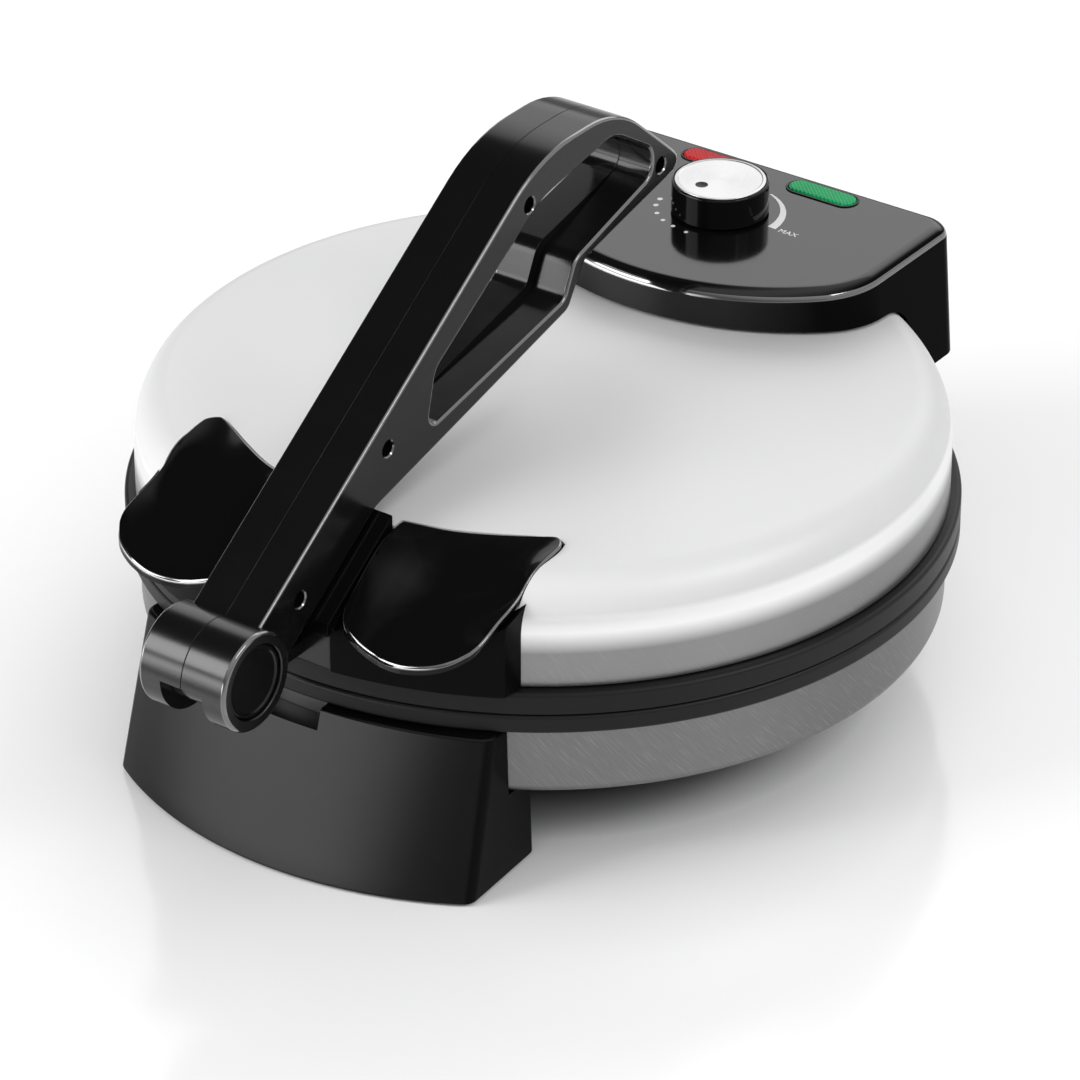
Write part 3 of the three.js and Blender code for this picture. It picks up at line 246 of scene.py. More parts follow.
KNOB_CAP = [(0, 141.9, 0), (16.35, 141.9, 0.2), (16.35, 142.95, 0.35), (15.2, 143.1, 0.3),
            (14.9, 142.85, 0.3), (0, 142.95, 0)]
DIMPLE_REACH = 8.2
DIMPLE_RIM = 143.2
DIMPLE_BOWL = (2.3, 1.1, 90)
DIMPLE_CUP = (2.24, 1.04, 76)
BOWL_TOP = [(2.3, 144), (0, 144)]
CUP_FOOT = [(2.3, 142.9), (2.3, 142.0), (0, 141.95)]

# Lever, barrel and bracket
PIVOT_Y = 183.0
PIVOT_Z = 86.0
PIVOT = (-PIVOT_Y, PIVOT_Z)
PIVOT_PIN = (3.95, -14.2, 14.2)
PIVOT_BORE = (4.3, -16, 16)
BARREL_R = 17.3
BARREL_HALF = 17.5
BARREL_EDGE = 1.4
CAP_R = 13.0
CAP_FLOOR = 14.6
DISC = [(0, 14.9, 0), (12.75, 14.9, 0.2), (12.75, 16.5, 0.5), (11.6, 16.5, 0.3),
        (11.1, 16.1, 0.3), (0, 15.9, 0)]
LEVER_HALF = 13.9
LEVER_BEVEL = 1.0
LEVER_REACH = 243.6
LEVER_RISE = 121.5
SEAM = 0.12
SEAM_BEVEL = 0.03
SEAM_TONGUE = [(0.1, 1.3), (-0.12, 1.3)]
ARM_OVER = 9.1
ARM_UNDER = 13.2
ARM_SLOPE = 0.68
EYE_R = 12.6
EYE_HALF = 8.1
SLOT_CLEAR = 0.45
SLOT_REACH = 25.0
SLOT_TURN = (-180, 164)
SCREW_HOLE = 2.9
SCREW_HOLE_LIP = 0.45
SCREW_R = 2.5
SCREW_FLOOR = 6.5
SCREW_HEAD = [(0, SCREW_FLOOR, 0), (SCREW_R, SCREW_FLOOR, 0.2), (SCREW_R, SCREW_FLOOR + 2.2, 0.9),
              (0, SCREW_FLOOR + 2.4, 0)]
SCREW_CROSS = (1.5, 0.32)
SCREW_CROSS_ENDS = (SCREW_FLOOR + 1.3, SCREW_FLOOR + 4)
LEVER_TOP = [(0.667, 1, 0.494), (0.852, 1, 0.37), (0.985, 0.77, 0.025), (1.006, 0.728, 0.033),
             (0.991, 0.695, 0.025), (0.772, 0.597, 0.066), (0.733, 0.472, 0.05)]
WINDOW = [(0.402, 0.383, 0.033), (0.723, 0.51, 0.041), (0.749, 0.617, 0.066),
          (0.936, 0.724, 0.05), (0.936, 0.807, 0.066), (0.842, 0.926, 0.123),
          (0.669, 0.868, 0.247), (0.423, 0.556, 0.066)]
WINDOW_STEP = (-0.012, 0.02)
WINDOW_STEP_CORNERS = (1, 2)
UNDER_BAR = 0.283
SCREWS = [(0.115, 0.132), (0.313, 0.411), (0.64, 0.873), (0.957, 0.738)]
BRACKET_PLATE = (-147.1, -129.1, LID_LOW + GAP, 87.4)
BRACKET_LUG = (-PIVOT_Y, -144, PIVOT_Z - 10.4, PIVOT_Z - 5.4)
BRACKET_EYE = [(4.3, -EYE_HALF, 0.3), (EYE_R, -EYE_HALF, 0.5), (EYE_R, EYE_HALF, 0.5),
               (4.3, EYE_HALF, 0.3)]

# Camera, lamps and floor; lengths in metres, angles in degrees
CAMERA_LENS = 183.6
CAMERA_SHIFT = -0.0029
CAMERA_TARGET = 0.04614
CAMERA_PLACE = (35.43, 30.24, 1.9246)
LAMP_TARGET = 0.08
FLOOR_HALF = 25
# Radii in metres over which the floor's painted shadow under the body fades out
FLOOR_PAINTED_SHADOW = (0.09, 0.12)


# Materials
class Nodes:
    """Short calls for the nodes of one tree."""

    def __init__(self, tree):
        self.tree = tree

    def node(self, kind, **settings):
        node = self.tree.nodes.new(kind)
        for key, value in settings.items():
            setattr(node, key, value)
        return node

    def link(self, source, target):
        self.tree.links.new(source, target)

    def feed(self, sockets, values):
        """Sets plain numbers on the sockets and links everything else."""
        for socket, value in zip(sockets, values):
            if isinstance(value, (int, float)):
                socket.default_value = value
            else:
                self.link(value, socket)

    def math(self, operation, a, b=0.0, c=0.0):
        node = self.node("ShaderNodeMath", operation=operation)
        self.feed(node.inputs, (a, b, c))
        return node.outputs[0]

    def times(self, a, b):
        return self.math("MULTIPLY", a, b)

    def times_add(self, a, b, c):
        return self.math("MULTIPLY_ADD", a, b, c)

    def plus(self, a, b):
        return self.math("ADD", a, b)

    def reach(self, x, y):
        return self.math("SQRT", self.plus(self.times(x, x), self.times(y, y)))

    def combine(self, x, y, z):
        node = self.node("ShaderNodeCombineXYZ")
        self.feed(node.inputs, (x, y, z))
        return node.outputs[0]

    def split(self, vector):
        node = self.node("ShaderNodeSeparateXYZ")
        self.link(vector, node.inputs[0])
        return node.outputs

    def span(self, value, low, high, start, end, **settings):
        """A clamped ramp from start at low to end at high."""
        node = self.node("ShaderNodeMapRange", **settings)
        self.feed(node.inputs, (value, low, high, start, end))
        return node.outputs[0]


class Look(Nodes):
    """A material with a Principled shader and the calls that feed it."""

    def __init__(self, name, color, rough, metal=0.0, **sockets):
        self.material = bpy.data.materials.new(name)
        self.material.use_nodes = True
        super().__init__(self.material.node_tree)
        self.shader = self.tree.nodes["Principled BSDF"]
        self.shader.inputs["Base Color"].default_value = (*color, 1)
        for key, value in {"Roughness": rough, "Metallic": metal, **sockets}.items():
            self.shader.inputs[key.replace("_", " ")].default_value = value
        self.color = color
        self.rough = rough
        self.where = self.node("ShaderNodeTexCoord").outputs["Object"]

    def noise(self, scale, detail=2.0, vector=None):
        node = self.node("ShaderNodeTexNoise")
        node.inputs["Scale"].default_value = scale
        node.inputs["Detail"].default_value = detail
        self.link(vector or self.where, node.inputs["Vector"])
        return node.outputs["Fac"]

    def tint(self, value, dark, light):
        node = self.node("ShaderNodeMix", data_type="RGBA")
        self.link(value, node.inputs["Factor"])
        node.inputs["A"].default_value = (*[c * dark for c in self.color], 1)
        node.inputs["B"].default_value = (*[min(1, c * light) for c in self.color], 1)
        self.link(node.outputs["Result"], self.shader.inputs["Base Color"])

    def roughness(self, value, low, high, spread):
        self.link(self.span(value, low, high, self.rough - spread, self.rough + spread),
                  self.shader.inputs["Roughness"])

    def relief(self, *layers):
        normal = None
        for height, strength, distance in layers:
            bump = self.node("ShaderNodeBump")
            bump.inputs["Strength"].default_value = strength
            bump.inputs["Distance"].default_value = distance
            self.link(height, bump.inputs["Height"])
            if normal:
                self.link(normal, bump.inputs["Normal"])
            normal = bump.outputs["Normal"]
        self.link(normal, self.shader.inputs["Normal"])


def grey(level, blue):
    return (level, level, blue)


def brushed_steel(name, color, rough, strength, slant=math.radians(48)):
    """Sheet steel: satin top, painted highlight at the shoulder, painted shade below, slanted
    hairlines.
    """
    look = Look(name, color, rough, 0.9, Anisotropic=0.25)
    x, y, z = look.split(look.where)
    around = look.times(look.math("ARCTAN2", x, y), LID_R * MM)
    along = look.times_add(z, math.sin(slant), look.times(around, math.cos(slant)))
    across = look.times_add(z, math.cos(slant), look.times(around, -math.sin(slant)))

    def hairlines(detail, length, width, layer):
        flat = look.combine(look.times(along, length), look.times(across, width), layer)
        return look.noise(1.0, detail, flat)

    hair = hairlines(detail=2.0, length=95, width=2600, layer=0)
    long_hair = hairlines(detail=1.0, length=60, width=1500, layer=3)
    cloud = look.noise(7.0, 3.0)
    fine = look.noise(900.0, 2.0)
    # Height masks: the side wall, painted darker as painted shade and hairlined, the painted
    # highlight band under the shoulder, and the top
    side = look.span(z, *PAINTED_SHADE_TO_HIGHLIGHT, 1.0, 0.0)
    top = look.span(z, *PAINTED_HIGHLIGHT_TO_TOP, 0.0, 1.0)
    painted_highlight = look.math("SUBTRACT", look.math("SUBTRACT", 1.0, side), top)
    worn = look.span(look.noise(11.0, 2.0), 0.47, 0.62, 0.12, 1.0)
    lines = look.times(look.times(look.span(hair, 0.52, 0.74, 0.0, 1.0), worn), side)
    patches = look.times_add(cloud, 0.12, look.times(lines, 0.13))
    # Colour level: brightest on the painted highlight, lighter on the top than on the shaded side,
    # plus random cloud and hairline tone
    painted_light_and_grain = look.times_add(painted_highlight, 1.0, look.times_add(top, 0.60, patches))
    look.link(look.span(top, 0.0, 1.0, 0.9, 0.1), look.shader.inputs["Metallic"])
    look.tint(painted_light_and_grain, 0.36, 1.6)
    polish = look.times_add(top, 0.5, look.times(look.plus(cloud, long_hair), 0.2))
    look.roughness(polish, 0.0, 0.8, 0.11)
    look.relief((lines, strength, 0.00008), (fine, 0.05, 0.00003))
    return look.material


def moulded(name, color, rough, grain, depth, cloudy=0.03, specular=0.5, walls=None, ends=1.0,
            **sockets):
    """Moulded plastic: a fine surface, soft clouds in its gloss and a little dust in its colour.

    The specular level holds for faces that look up. walls is the level of the upright ones, and
    ends is the share of either that is left on faces to the left and right; both dim these
    faces as painted shade.
    """
    look = Look(name, color, rough, Specular_IOR_Level=specular, **sockets)
    cloud = look.noise(22.0, 4.0)
    fine = look.noise(grain, 3.0)
    scaled = [look.times(axis, k) for axis, k in zip(look.split(look.where), (90, 420, 160))]
    scuff = look.noise(1.0, 3.0, look.combine(*scaled))
    look.tint(look.times_add(scuff, 0.5, look.times(cloud, 0.5)), 0.9, 1.12)
    look.roughness(look.times_add(cloud, 0.7, look.times(scuff, 0.3)), 0.3, 0.7, cloudy)
    look.relief((fine, depth, 0.00005), (cloud, 0.04, 0.0004))
    if walls is not None:
        facing = look.split(look.node("ShaderNodeTexCoord").outputs["Normal"])
        flat = look.span(facing[2], 0.4, 0.9, walls, specular)
        sideways = look.span(look.math("ABSOLUTE", facing[0]), 0.4, 0.7, 1.0, ends)
        look.link(look.times(flat, sideways), look.shader.inputs["Specular IOR Level"])
    return look.material


def turned_metal(name, color, rough, rings, centre_y=0):
    """Lathe-turned metal with fine concentric lines about an upright axis."""
    look = Look(name, color, rough, 1.0, Anisotropic=0.4)
    x, y, z = look.split(look.where)
    reach = look.reach(x, look.math("SUBTRACT", y, centre_y * MM + SHIFT))
    lines = look.noise(1.0, 2.0, look.combine(look.times(reach, rings), look.times(z, 40), 0))
    look.tint(lines, 0.94, 1.05)
    look.roughness(lines, 0.3, 0.7, 0.05)
    look.relief((lines, 0.12, 0.00004))
    return look.material


def cast_coating(name):
    """Dark non-stick coating with a fine pebble and faint speckles."""
    look = Look(name, (0.022, 0.022, 0.024), 0.42)
    pebble = look.noise(700.0, 3.0)
    speck = look.node("ShaderNodeTexVoronoi")
    speck.inputs["Scale"].default_value = 420.0
    look.link(look.where, speck.inputs["Vector"])
    dots = look.span(speck.outputs["Distance"], 0.08, 0.16, 1.0, 0.0)
    cloud = look.noise(14.0, 3.0)
    look.tint(look.times_add(dots, 0.5, look.times(cloud, 0.3)), 0.8, 2.6)
    look.roughness(cloud, 0.3, 0.7, 0.06)
    look.relief((pebble, 0.25, 0.00006))
    return look.material


def lens_plastic(name, color):
    """Clear coloured lens with a grid of small ribs moulded into its underside."""
    look = Look(name, color, 0.2, Specular_IOR_Level=0.2)
    waves = [look.math("SINE", look.times(axis, 3700)) for axis in look.split(look.where)[:2]]
    cloud = look.noise(60.0, 2.0)
    cells = look.span(look.times(*waves), -0.4, 0.6, 0.0, 1.0)
    look.tint(look.times_add(cells, 0.6, look.times(cloud, 0.4)), 0.55, 1.35)
    look.roughness(cells, 0.0, 1.0, 0.04)
    look.relief((cells, 0.8, 0.0003))
    return look.material


LOOKS = {
    "steel_lid": brushed_steel("lid_steel", grey(0.59, 0.593), 0.37, 0.35),
    # The base's steel is painted darker than the lid's: painted shade
    "steel_base": brushed_steel("base_steel", grey(0.42, 0.423), 0.4, 0.4),
    "steel": turned_metal("bright_steel", (0.70, 0.71, 0.72), 0.28, 3000),
    "dark_steel": turned_metal("dull_steel", (0.36, 0.37, 0.38), 0.42, 1800),
    "heater_metal": turned_metal("heater_steel", (0.20, 0.19, 0.18), 0.5, 1200),
    "silver": turned_metal("cap_silver", grey(0.57, 0.575), 0.3, 5200, KNOB_Y),
    "cast_plate": cast_coating("plate_coating"),
    "green_light": lens_plastic("green_lens", (0.001, 0.40, 0.125)),
    "red_light": lens_plastic("red_lens", (0.55, 0.006, 0.010)),
    # black_edge is a lighter, glossier black for rims, bevels and edges, which draws highlight
    # lines there: painted highlight
    "black_edge": moulded("black_edge", grey(0.0045, 0.005), 0.12, 1500, 0.03, 0.02, 0.8,
                          Coat_Weight=1.0, Coat_IOR=2.1, Coat_Roughness=0.06),
    "glass": moulded("lamp_glass", (0.72, 0.66, 0.58), 0.08, 400, 0.02, 0.02,
                     Transmission_Weight=0.7),
    "ceramic": moulded("ceramic", (0.72, 0.68, 0.60), 0.55, 900, 0.3),
    "print": moulded("white_print", grey(0.78, 0.77), 0.45, 1800, 0.1),
}
# Colour, roughness, grain, depth of the grain, cloudiness, specular level, its walls and ends
PLASTICS = {
    "ring_plastic": (grey(0.006, 0.0065), 0.42, 2200, 0.22, 0.03, 0.22),
    "gloss_black": (grey(0.003, 0.0034), 0.09, 1500, 0.03, 0.02, 0.2),
    # hood_black and foot_black keep less gloss on their upright and sideways faces: painted shade
    "hood_black": (grey(0.0036, 0.004), 0.1, 1500, 0.03, 0.02, 0.46, 0.36, 0.02),
    "foot_black": (grey(0.0024, 0.0028), 0.24, 1800, 0.05, 0.02, 0.2, 0.2, 0.25),
    "satin_black": (grey(0.004, 0.0044), 0.17, 2000, 0.08, 0.03, 0.3),
    "barrel_black": (grey(0.0036, 0.004), 0.21, 2000, 0.06, 0.03, 0.5),
    # painted_shade_black, on the bracket and bed between the wings, is a darker, duller copy of
    # gloss_black: painted shade
    "painted_shade_black": (grey(0.0026, 0.003), 0.2, 1800, 0.05, 0.02, 0.2, 0.05),
    # dimple_painted_shade: a grey cup darker than the silver cap, painted shade in the dimple
    "dimple_painted_shade": (grey(0.035, 0.036), 0.45, 1800, 0.05, 0.03, 0.3),
    "rubber": (grey(0.018, 0.019), 0.75, 1400, 0.5, 0.06),
}
LOOKS.update({name: moulded(name, *values) for name, values in PLASTICS.items()})
# The record's slots for the looks that aren't called as their slot is
SLOTS = {"steel_lid": "steel", "steel_base": "steel", "print": "silver",
         **dict.fromkeys(("hood_black", "foot_black", "painted_shade_black", "dimple_painted_shade"), "gloss_black")}


# Mesh helpers
def place(p):
    return (p[0] * MM, p[1] * MM + SHIFT, p[2] * MM)


def circle(steps, first=0.0, sweep=90.0):
    """Pairs of cosine and sine from the first angle through the sweep, in degrees."""
    turns = [math.radians(first + sweep * k / steps) for k in range(steps + 1)]
    return [(math.cos(t), math.sin(t)) for t in turns]


def add_object(name, data):
    obj = bpy.data.objects.new(name, data)
    bpy.context.scene.collection.objects.link(obj)
    return obj


def raw(name, points, faces):
    """A closed mesh in the scene whose faces look outwards."""
    mesh = bpy.data.meshes.new(name)
    mesh.from_pydata([place(p) for p in points], [], faces)
    mesh.validate()
    shape = bmesh.new()
    shape.from_mesh(mesh)
    bmesh.ops.recalc_face_normals(shape, faces=shape.faces)
    if shape.calc_volume(signed=True) < 0:
        bmesh.ops.reverse_faces(shape, faces=shape.faces)
    shape.to_mesh(mesh)
    shape.free()
    return add_object(name, mesh)


def dress(obj, look, body, nodes=(), angle=32, weighted=True, zones=()):
    """Gives a finished mesh its look and its body, and hides the CAD nodes that it stands for.

    zones are (look, test) pairs for the polygons that have another finish.
    """
    obj.data.materials.clear()
    for name in (look, *(zone for zone, test in zones)):
        obj.data.materials.append(LOOKS[name])
    tests = [test for zone, test in zones]
    for polygon in obj.data.polygons:
        polygon.material_index = next((i for i, test in enumerate(tests, 1) if test(polygon)), 0)
        polygon.use_smooth = True
    obj.data.set_sharp_from_angle(angle=math.radians(angle))
    if weighted:
        normals = obj.modifiers.new("normals", "WEIGHTED_NORMAL")
        normals.keep_sharp = True
        normals.weight = 80
    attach(obj, body)
    if nodes:
        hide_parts(*nodes)
    return obj


def final_mesh(obj):
    """A new mesh of the object as its modifiers leave it."""
    bpy.context.view_layer.update()
    graph = bpy.context.evaluated_depsgraph_get()
    return bpy.data.meshes.new_from_object(obj.evaluated_get(graph))


def settle(obj):
    """Applies the modifiers of a mesh."""
    mesh, old = final_mesh(obj), obj.data
    obj.modifiers.clear()
    obj.data = mesh
    bpy.data.meshes.remove(old)
    return obj


def carve(obj, *tools, operation="DIFFERENCE"):
    """Cuts the tools out of a mesh one by one, or joins or intersects them, and removes them."""
    for tool in tools:
        step = obj.modifiers.new("carve", "BOOLEAN")
        step.operation = operation
        step.solver = "MANIFOLD"
        step.object = tool
        settle(obj)
    for tool in tools:
        bpy.data.objects.remove(tool)
    return obj


def soften(obj, width, segments=3, angle=35):
    step = obj.modifiers.new("soften", "BEVEL")
    step.width = width * MM
    step.segments = segments
    step.limit_method = "ANGLE"
    step.angle_limit = math.radians(angle)
    step.miter_outer = "MITER_ARC"
    return settle(obj)


def rounded(corners, step=ARC):
    """A closed outline whose corners (a, b, radius) are turned into arcs."""
    points = []
    for i, (a, b, radius) in enumerate(corners):
        here = Vector((a, b))
        if radius <= 0:
            points.append((a, b))
            continue
        back = (Vector(corners[i - 1][:2]) - here).normalized()
        ahead = (Vector(corners[(i + 1) % len(corners)][:2]) - here).normalized()
        half = math.acos(max(-1, min(1, back.dot(ahead)))) / 2
        middle = here + (back + ahead).normalized() * (radius / math.sin(half))
        start = here + back * (radius / math.tan(half)) - middle
        turn = -1 if back.cross(ahead) > 0 else 1
        sweep = math.pi - 2 * half
        count = max(2, math.ceil(sweep / step))
        first = math.degrees(math.atan2(start.y, start.x))
        points += [(middle.x + radius * c, middle.y + radius * s)
                   for c, s in circle(count, first, math.degrees(turn * sweep))]
    return points


def band(low, high):
    """Quads between two closed loops of point numbers."""
    return [[a, b, d, c] for a, b, c, d in zip(low, low[1:] + low[:1], high, high[1:] + high[:1])]


def lathe(name, profile, steps=BODY_STEPS, centre=(0, 0)):
    """A closed profile of (radius, height) turned about an upright axis."""
    points, rows = [], []
    for r, z in profile:
        if r < 1e-6:
            rows.append([len(points)] * steps)
            points.append((*centre, z))
            continue
        rows.append(list(range(len(points), len(points) + steps)))
        points += [(centre[0] + r * c, centre[1] + r * s, z) for c, s in circle(steps, 0, 360)[:-1]]
    faces = []
    for a, b in zip(rows, rows[1:] + rows[:1]):
        if a[0] != a[1] or b[0] != b[1]:
            faces += [[v for j, v in enumerate(quad) if v not in quad[:j]] for quad in band(a, b)]
    return raw(name, points, faces)


def lay(obj, turn, move):
    home = Vector((0, SHIFT, 0))
    moved = Matrix.Translation(home + Vector(move) * MM)
    obj.data.transform(moved @ turn @ Matrix.Translation(-home))
    return obj


def along_x(obj, y, z):
    """Lays an upright lathed mesh along X at a depth and height."""
    return lay(obj, Matrix.Rotation(math.pi / 2, 4, "Y"), (0, y, z))


def along_y(obj, x, z):
    """Lays an upright lathed mesh along Y at a place across and a height."""
    return lay(obj, Matrix.Rotation(-math.pi / 2, 4, "X"), (x, 0, z))


def rod(name, radius, low, high, steps=ROD_STEPS, edge=0.0, centre=(0, 0)):
    profile = rounded([(0, low, 0), (radius, low, edge), (radius, high, edge), (0, high, 0)])
    return lathe(name, profile, steps, centre)


def loft(name, loops, around=False):
    """A skin through closed loops of equal counts, with flat ends or closed on itself."""
    count = len(loops[0])
    rows = [list(range(k * count, (k + 1) * count)) for k in range(len(loops))]
    faces = [face for a, b in zip(rows, rows[1:]) for face in band(a, b)]
    faces += band(rows[-1], rows[0]) if around else [rows[0][::-1], rows[-1]]
    return raw(name, [p for loop in loops for p in loop], faces)


def stack(name, sections):
    """A skin through level outlines, [(points, z), ...] from the lowest up, with flat ends."""
    return loft(name, [[(x, y, z) for x, y in outline] for outline, z in sections])


def rounded_top(outline, top, width, rise, steps):
    """Sections that turn a wall into a flat top; outline gives the points at an inset."""
    return [(outline(width * (1 - c)), top - rise * (1 - s)) for c, s in circle(steps)]


def block(name, x0, x1, y0, y1, z0, z1):
    outline = [(x0, y0), (x1, y0), (x1, y1), (x0, y1)]
    return stack(name, [(outline, z0), (outline, z1)])


def inset(points, amount):
    """A closed counter-clockwise outline moved inwards along its normals."""
    result = []
    for before, here, after in zip(points[-1:] + points[:-1], points, points[1:] + points[:1]):
        here = Vector(here)
        a, b = (here - Vector(before)).normalized(), (Vector(after) - here).normalized()
        n = Vector((-(a.y + b.y), a.x + b.x)).normalized()
        moved = here + n * (amount / max(0.5, n.dot(Vector((-a.y, a.x)))))
        result.append((moved.x, moved.y))
    return result


def ccw(points):
    area = sum(a[0] * b[1] - b[0] * a[1] for a, b in zip(points, points[1:] + points[:1]))
    return points if area > 0 else points[::-1]


def slab_x(name, outline, sections, window=(), pits=()):
    """A side-view outline run along X through (x, inset) sections.

    It may have a window right through and blind round pits in its last face.
    """
    outer = ccw(list(outline))
    hole = ccw(list(window)) if window else []
    points, faces = [], []

    def ring(loop, x):
        points.extend((x, a, b) for a, b in loop)
        return list(range(len(points) - len(loop), len(points)))

    def skin(rings):
        for low, high in zip(rings, rings[1:]):
            faces.extend(band(low, high))
        return rings

    outer_rings = skin([ring(inset(outer, amount), x) for x, amount in sections])
    hole_rings = skin([ring(inset(hole, -amount), x) for x, amount in sections] if hole else [])
    pit_tops = []
    top_x = sections[-1][0]
    for (a, b), radius, floor, lip in pits:
        inward = -lip if top_x > floor else lip
        levels = ((top_x, radius + lip), (top_x + inward, radius), (floor, radius))
        loops = skin([ring([(a + r * c, b + r * s) for c, s in circle(SCREW_STEPS, 0, 360)[:-1]], x)
                      for x, r in levels])
        faces.append(loops[-1])
        pit_tops.append(loops[0])
    for end, extra in ((0, []), (-1, pit_tops)):
        loops = [outer_rings[end]] + ([hole_rings[end]] if hole else []) + extra
        flat = [i for loop in loops for i in loop]
        polygons = [[Vector((points[i][1], points[i][2], 0)) for i in loop] for loop in loops]
        faces.extend([flat[i] for i in triangle] for triangle in tessellate_polygon(polygons))
    return raw(name, points, faces)


# Shared forms
def quarter(r0, z0, width, rise, steps, end=90.0):
    return [(r0 + width * c, z0 + rise * s) for c, s in circle(steps, 0, end)]


def dome(clear, steps=20):
    """The lid's outside from its wall over the shoulder to the axis, swollen by a clearance."""
    side = quarter(RIM_R, SHOULDER_Z, SHOULDER_W + clear, SHOULDER_H + clear, steps, SHOULDER_END)
    rim_r, rim_z = side[-1]
    shares = [1 - k / steps for k in range(1, steps + 1)]
    return side + [(rim_r * share, rim_z + CROWN * (1 - share * share)) for share in shares]


def lid_room(clear, steps=BODY_STEPS):
    """The lid and its clearance, to be cut out of what stands against it."""
    wall, low = LID_R + clear, LID_LOW - clear
    return lathe("room", [(0, low), (wall, low), *dome(clear)], steps)


def base_room(clear):
    wall, low, top = BASE_R + clear, BASE_LOW - clear, BASE_TOP + clear
    return lathe("room", [(0, low), (wall, low), (wall, top), (0, top)])


def spline(points, count, fine_steps=24):
    """Even samples of a centripetal Catmull-Rom curve through the points."""
    p = [Vector(q) for q in points]
    p = [p[0] * 2 - p[1], *p, p[-1] * 2 - p[-2]]
    fine = []
    for i in range(1, len(p) - 2):
        t = [0]
        for a, b in zip(p[i - 1:i + 2], p[i:i + 3]):
            t.append(t[-1] + max(1e-6, (b - a).length ** 0.5))
        for k in range(fine_steps):
            s = t[1] + (t[2] - t[1]) * k / fine_steps
            layer = p[i - 1:i + 3]
            for gap in (1, 2):
                layer = [layer[j].lerp(layer[j + 1], (s - t[j]) / (t[j + gap] - t[j]))
                         for j in range(len(layer) - 1)]
            fine.append(layer[0].lerp(layer[1], (s - t[1]) / (t[2] - t[1])))
    fine.append(p[-2])
    marks = [0]
    for a, b in zip(fine, fine[1:]):
        marks.append(marks[-1] + (b - a).length)
    result, j = [], 0
    for k in range(count + 1):
        want = marks[-1] * k / count
        while j < len(marks) - 2 and marks[j + 1] < want:
            j += 1
        length = max(1e-9, marks[j + 1] - marks[j])
        result.append(fine[j].lerp(fine[j + 1], (want - marks[j]) / length))
    return result


def wing_rows():
    """A grid of points over the right wing's top, spanned between its four edges and scooped."""
    def edge(shares):
        return spline([(WING_IN + WING_SPAN * a, -WING_REAR - WING_DEPTH * b,
                        WING_TOP - WING_DROP * c) for a, b, c in shares], WING_GRID)

    rear, outer, front, inner = map(edge, (WING_REAR_EDGE, WING_OUTER_EDGE, WING_FRONT_EDGE,
                                           WING_INNER_EDGE))
    rows = []
    for j in range(WING_GRID + 1):
        v = j / WING_GRID
        row = []
        for i in range(WING_GRID + 1):
            u = i / WING_GRID
            p = rear[i] * (1 - v) + front[i] * v + inner[j] * (1 - u) + outer[j] * u
            p = p - rear[0] * ((1 - u) * (1 - v)) - rear[-1] * (u * (1 - v))
            p = p - front[0] * ((1 - u) * v) - front[-1] * (u * v)
            p.z -= WING_SCOOP * math.sin(math.pi * u) * math.sin(math.pi * v)
            row.append(p)
        rows.append(row)
    return rows


def wing_slab(side, above, widen):
    """The room that a wing takes: its surface from below the sheet to a height above it."""
    def past(edge, following):
        return edge + (edge - following).normalized() * widen

    rows = [[past(row[0], row[1]), *row, past(row[-1], row[-2])] for row in wing_rows()]
    rows = [[past(a, b) for a, b in zip(rows[0], rows[1])], *rows,
            [past(a, b) for a, b in zip(rows[-1], rows[-2])]]
    width = len(rows[0])
    count = width * len(rows)
    points = [(side * p.x, p.y, p.z + shift) for shift in (-WING_SHEET - GAP, above)
              for row in rows for p in row]
    faces = [[a, a + 1, a + width + 1, a + width] for start in (0, count)
             for row in range(start, start + count - width, width)
             for a in range(row, row + width - 1)]
    border = [*range(width), *range(2 * width - 1, count, width),
              *range(count - 2, count - width - 1, -1), *range(count - 2 * width, 0, -width)]
    faces += [[a, b, b + count, a + count] for a, b in zip(border, border[1:] + border[:1])]
    return raw("room", points, faces)


def arm_under(y):
    """The height of the lever arm's underside at a depth."""
    return PIVOT_Z + ARM_SLOPE * (y + PIVOT_Y) - ARM_UNDER * math.hypot(1, ARM_SLOPE)


def saddle(name, half, under, over):
    """A block along the arm's underside, thicker than the trough's bed by under and over."""
    line = [(y, arm_under(y) - TROUGH_CLEAR + shift) for y, shift in
            ((-TROUGH_REAR, -TROUGH_FLOOR - under), (-TROUGH_REAR, over), (-APRON_R, over),
             (-APRON_R, -TROUGH_FLOOR - under))]
    return slab_x(name, line, [(-half, 0), (half, 0)])


def across(side, ends):
    """A span given on the right, on either side of the middle and in order."""
    return sorted(side * x for x in ends)


# Base
def base_turn(radius):
    turn = quarter(BASE_R - BASE_CORNER, 0, radius, radius, 10)
    return [(r, BASE_LOW + BASE_CORNER - z) for r, z in turn]


shell = lathe("shell_base", [
    (BASE_R - FLANGE, BASE_LOW), *base_turn(BASE_CORNER)[::-1], (BASE_R, BASE_TOP - LIP),
    (BASE_R - LIP, BASE_TOP), (BASE_R - SHEET, BASE_TOP), *base_turn(BASE_CORNER - SHEET),
    (BASE_R - FLANGE, BASE_LOW + SHEET)])
dress(shell, "steel_base", "base", ["base_shell"])
ring = lathe("ring_base", rounded(BASE_RING))
dress(ring, "ring_plastic", "base", ["base_ring"])
for name, node, low, body in PLATES:
    high = low + PLATE_THICK
    plate = lathe(name, rounded([(0, low, 0), (PLATE_R, low, PLATE_EDGE),
                                 (PLATE_R, high, PLATE_EDGE), (0, high, 0)]))
    dress(plate, "cast_plate", body, [node])


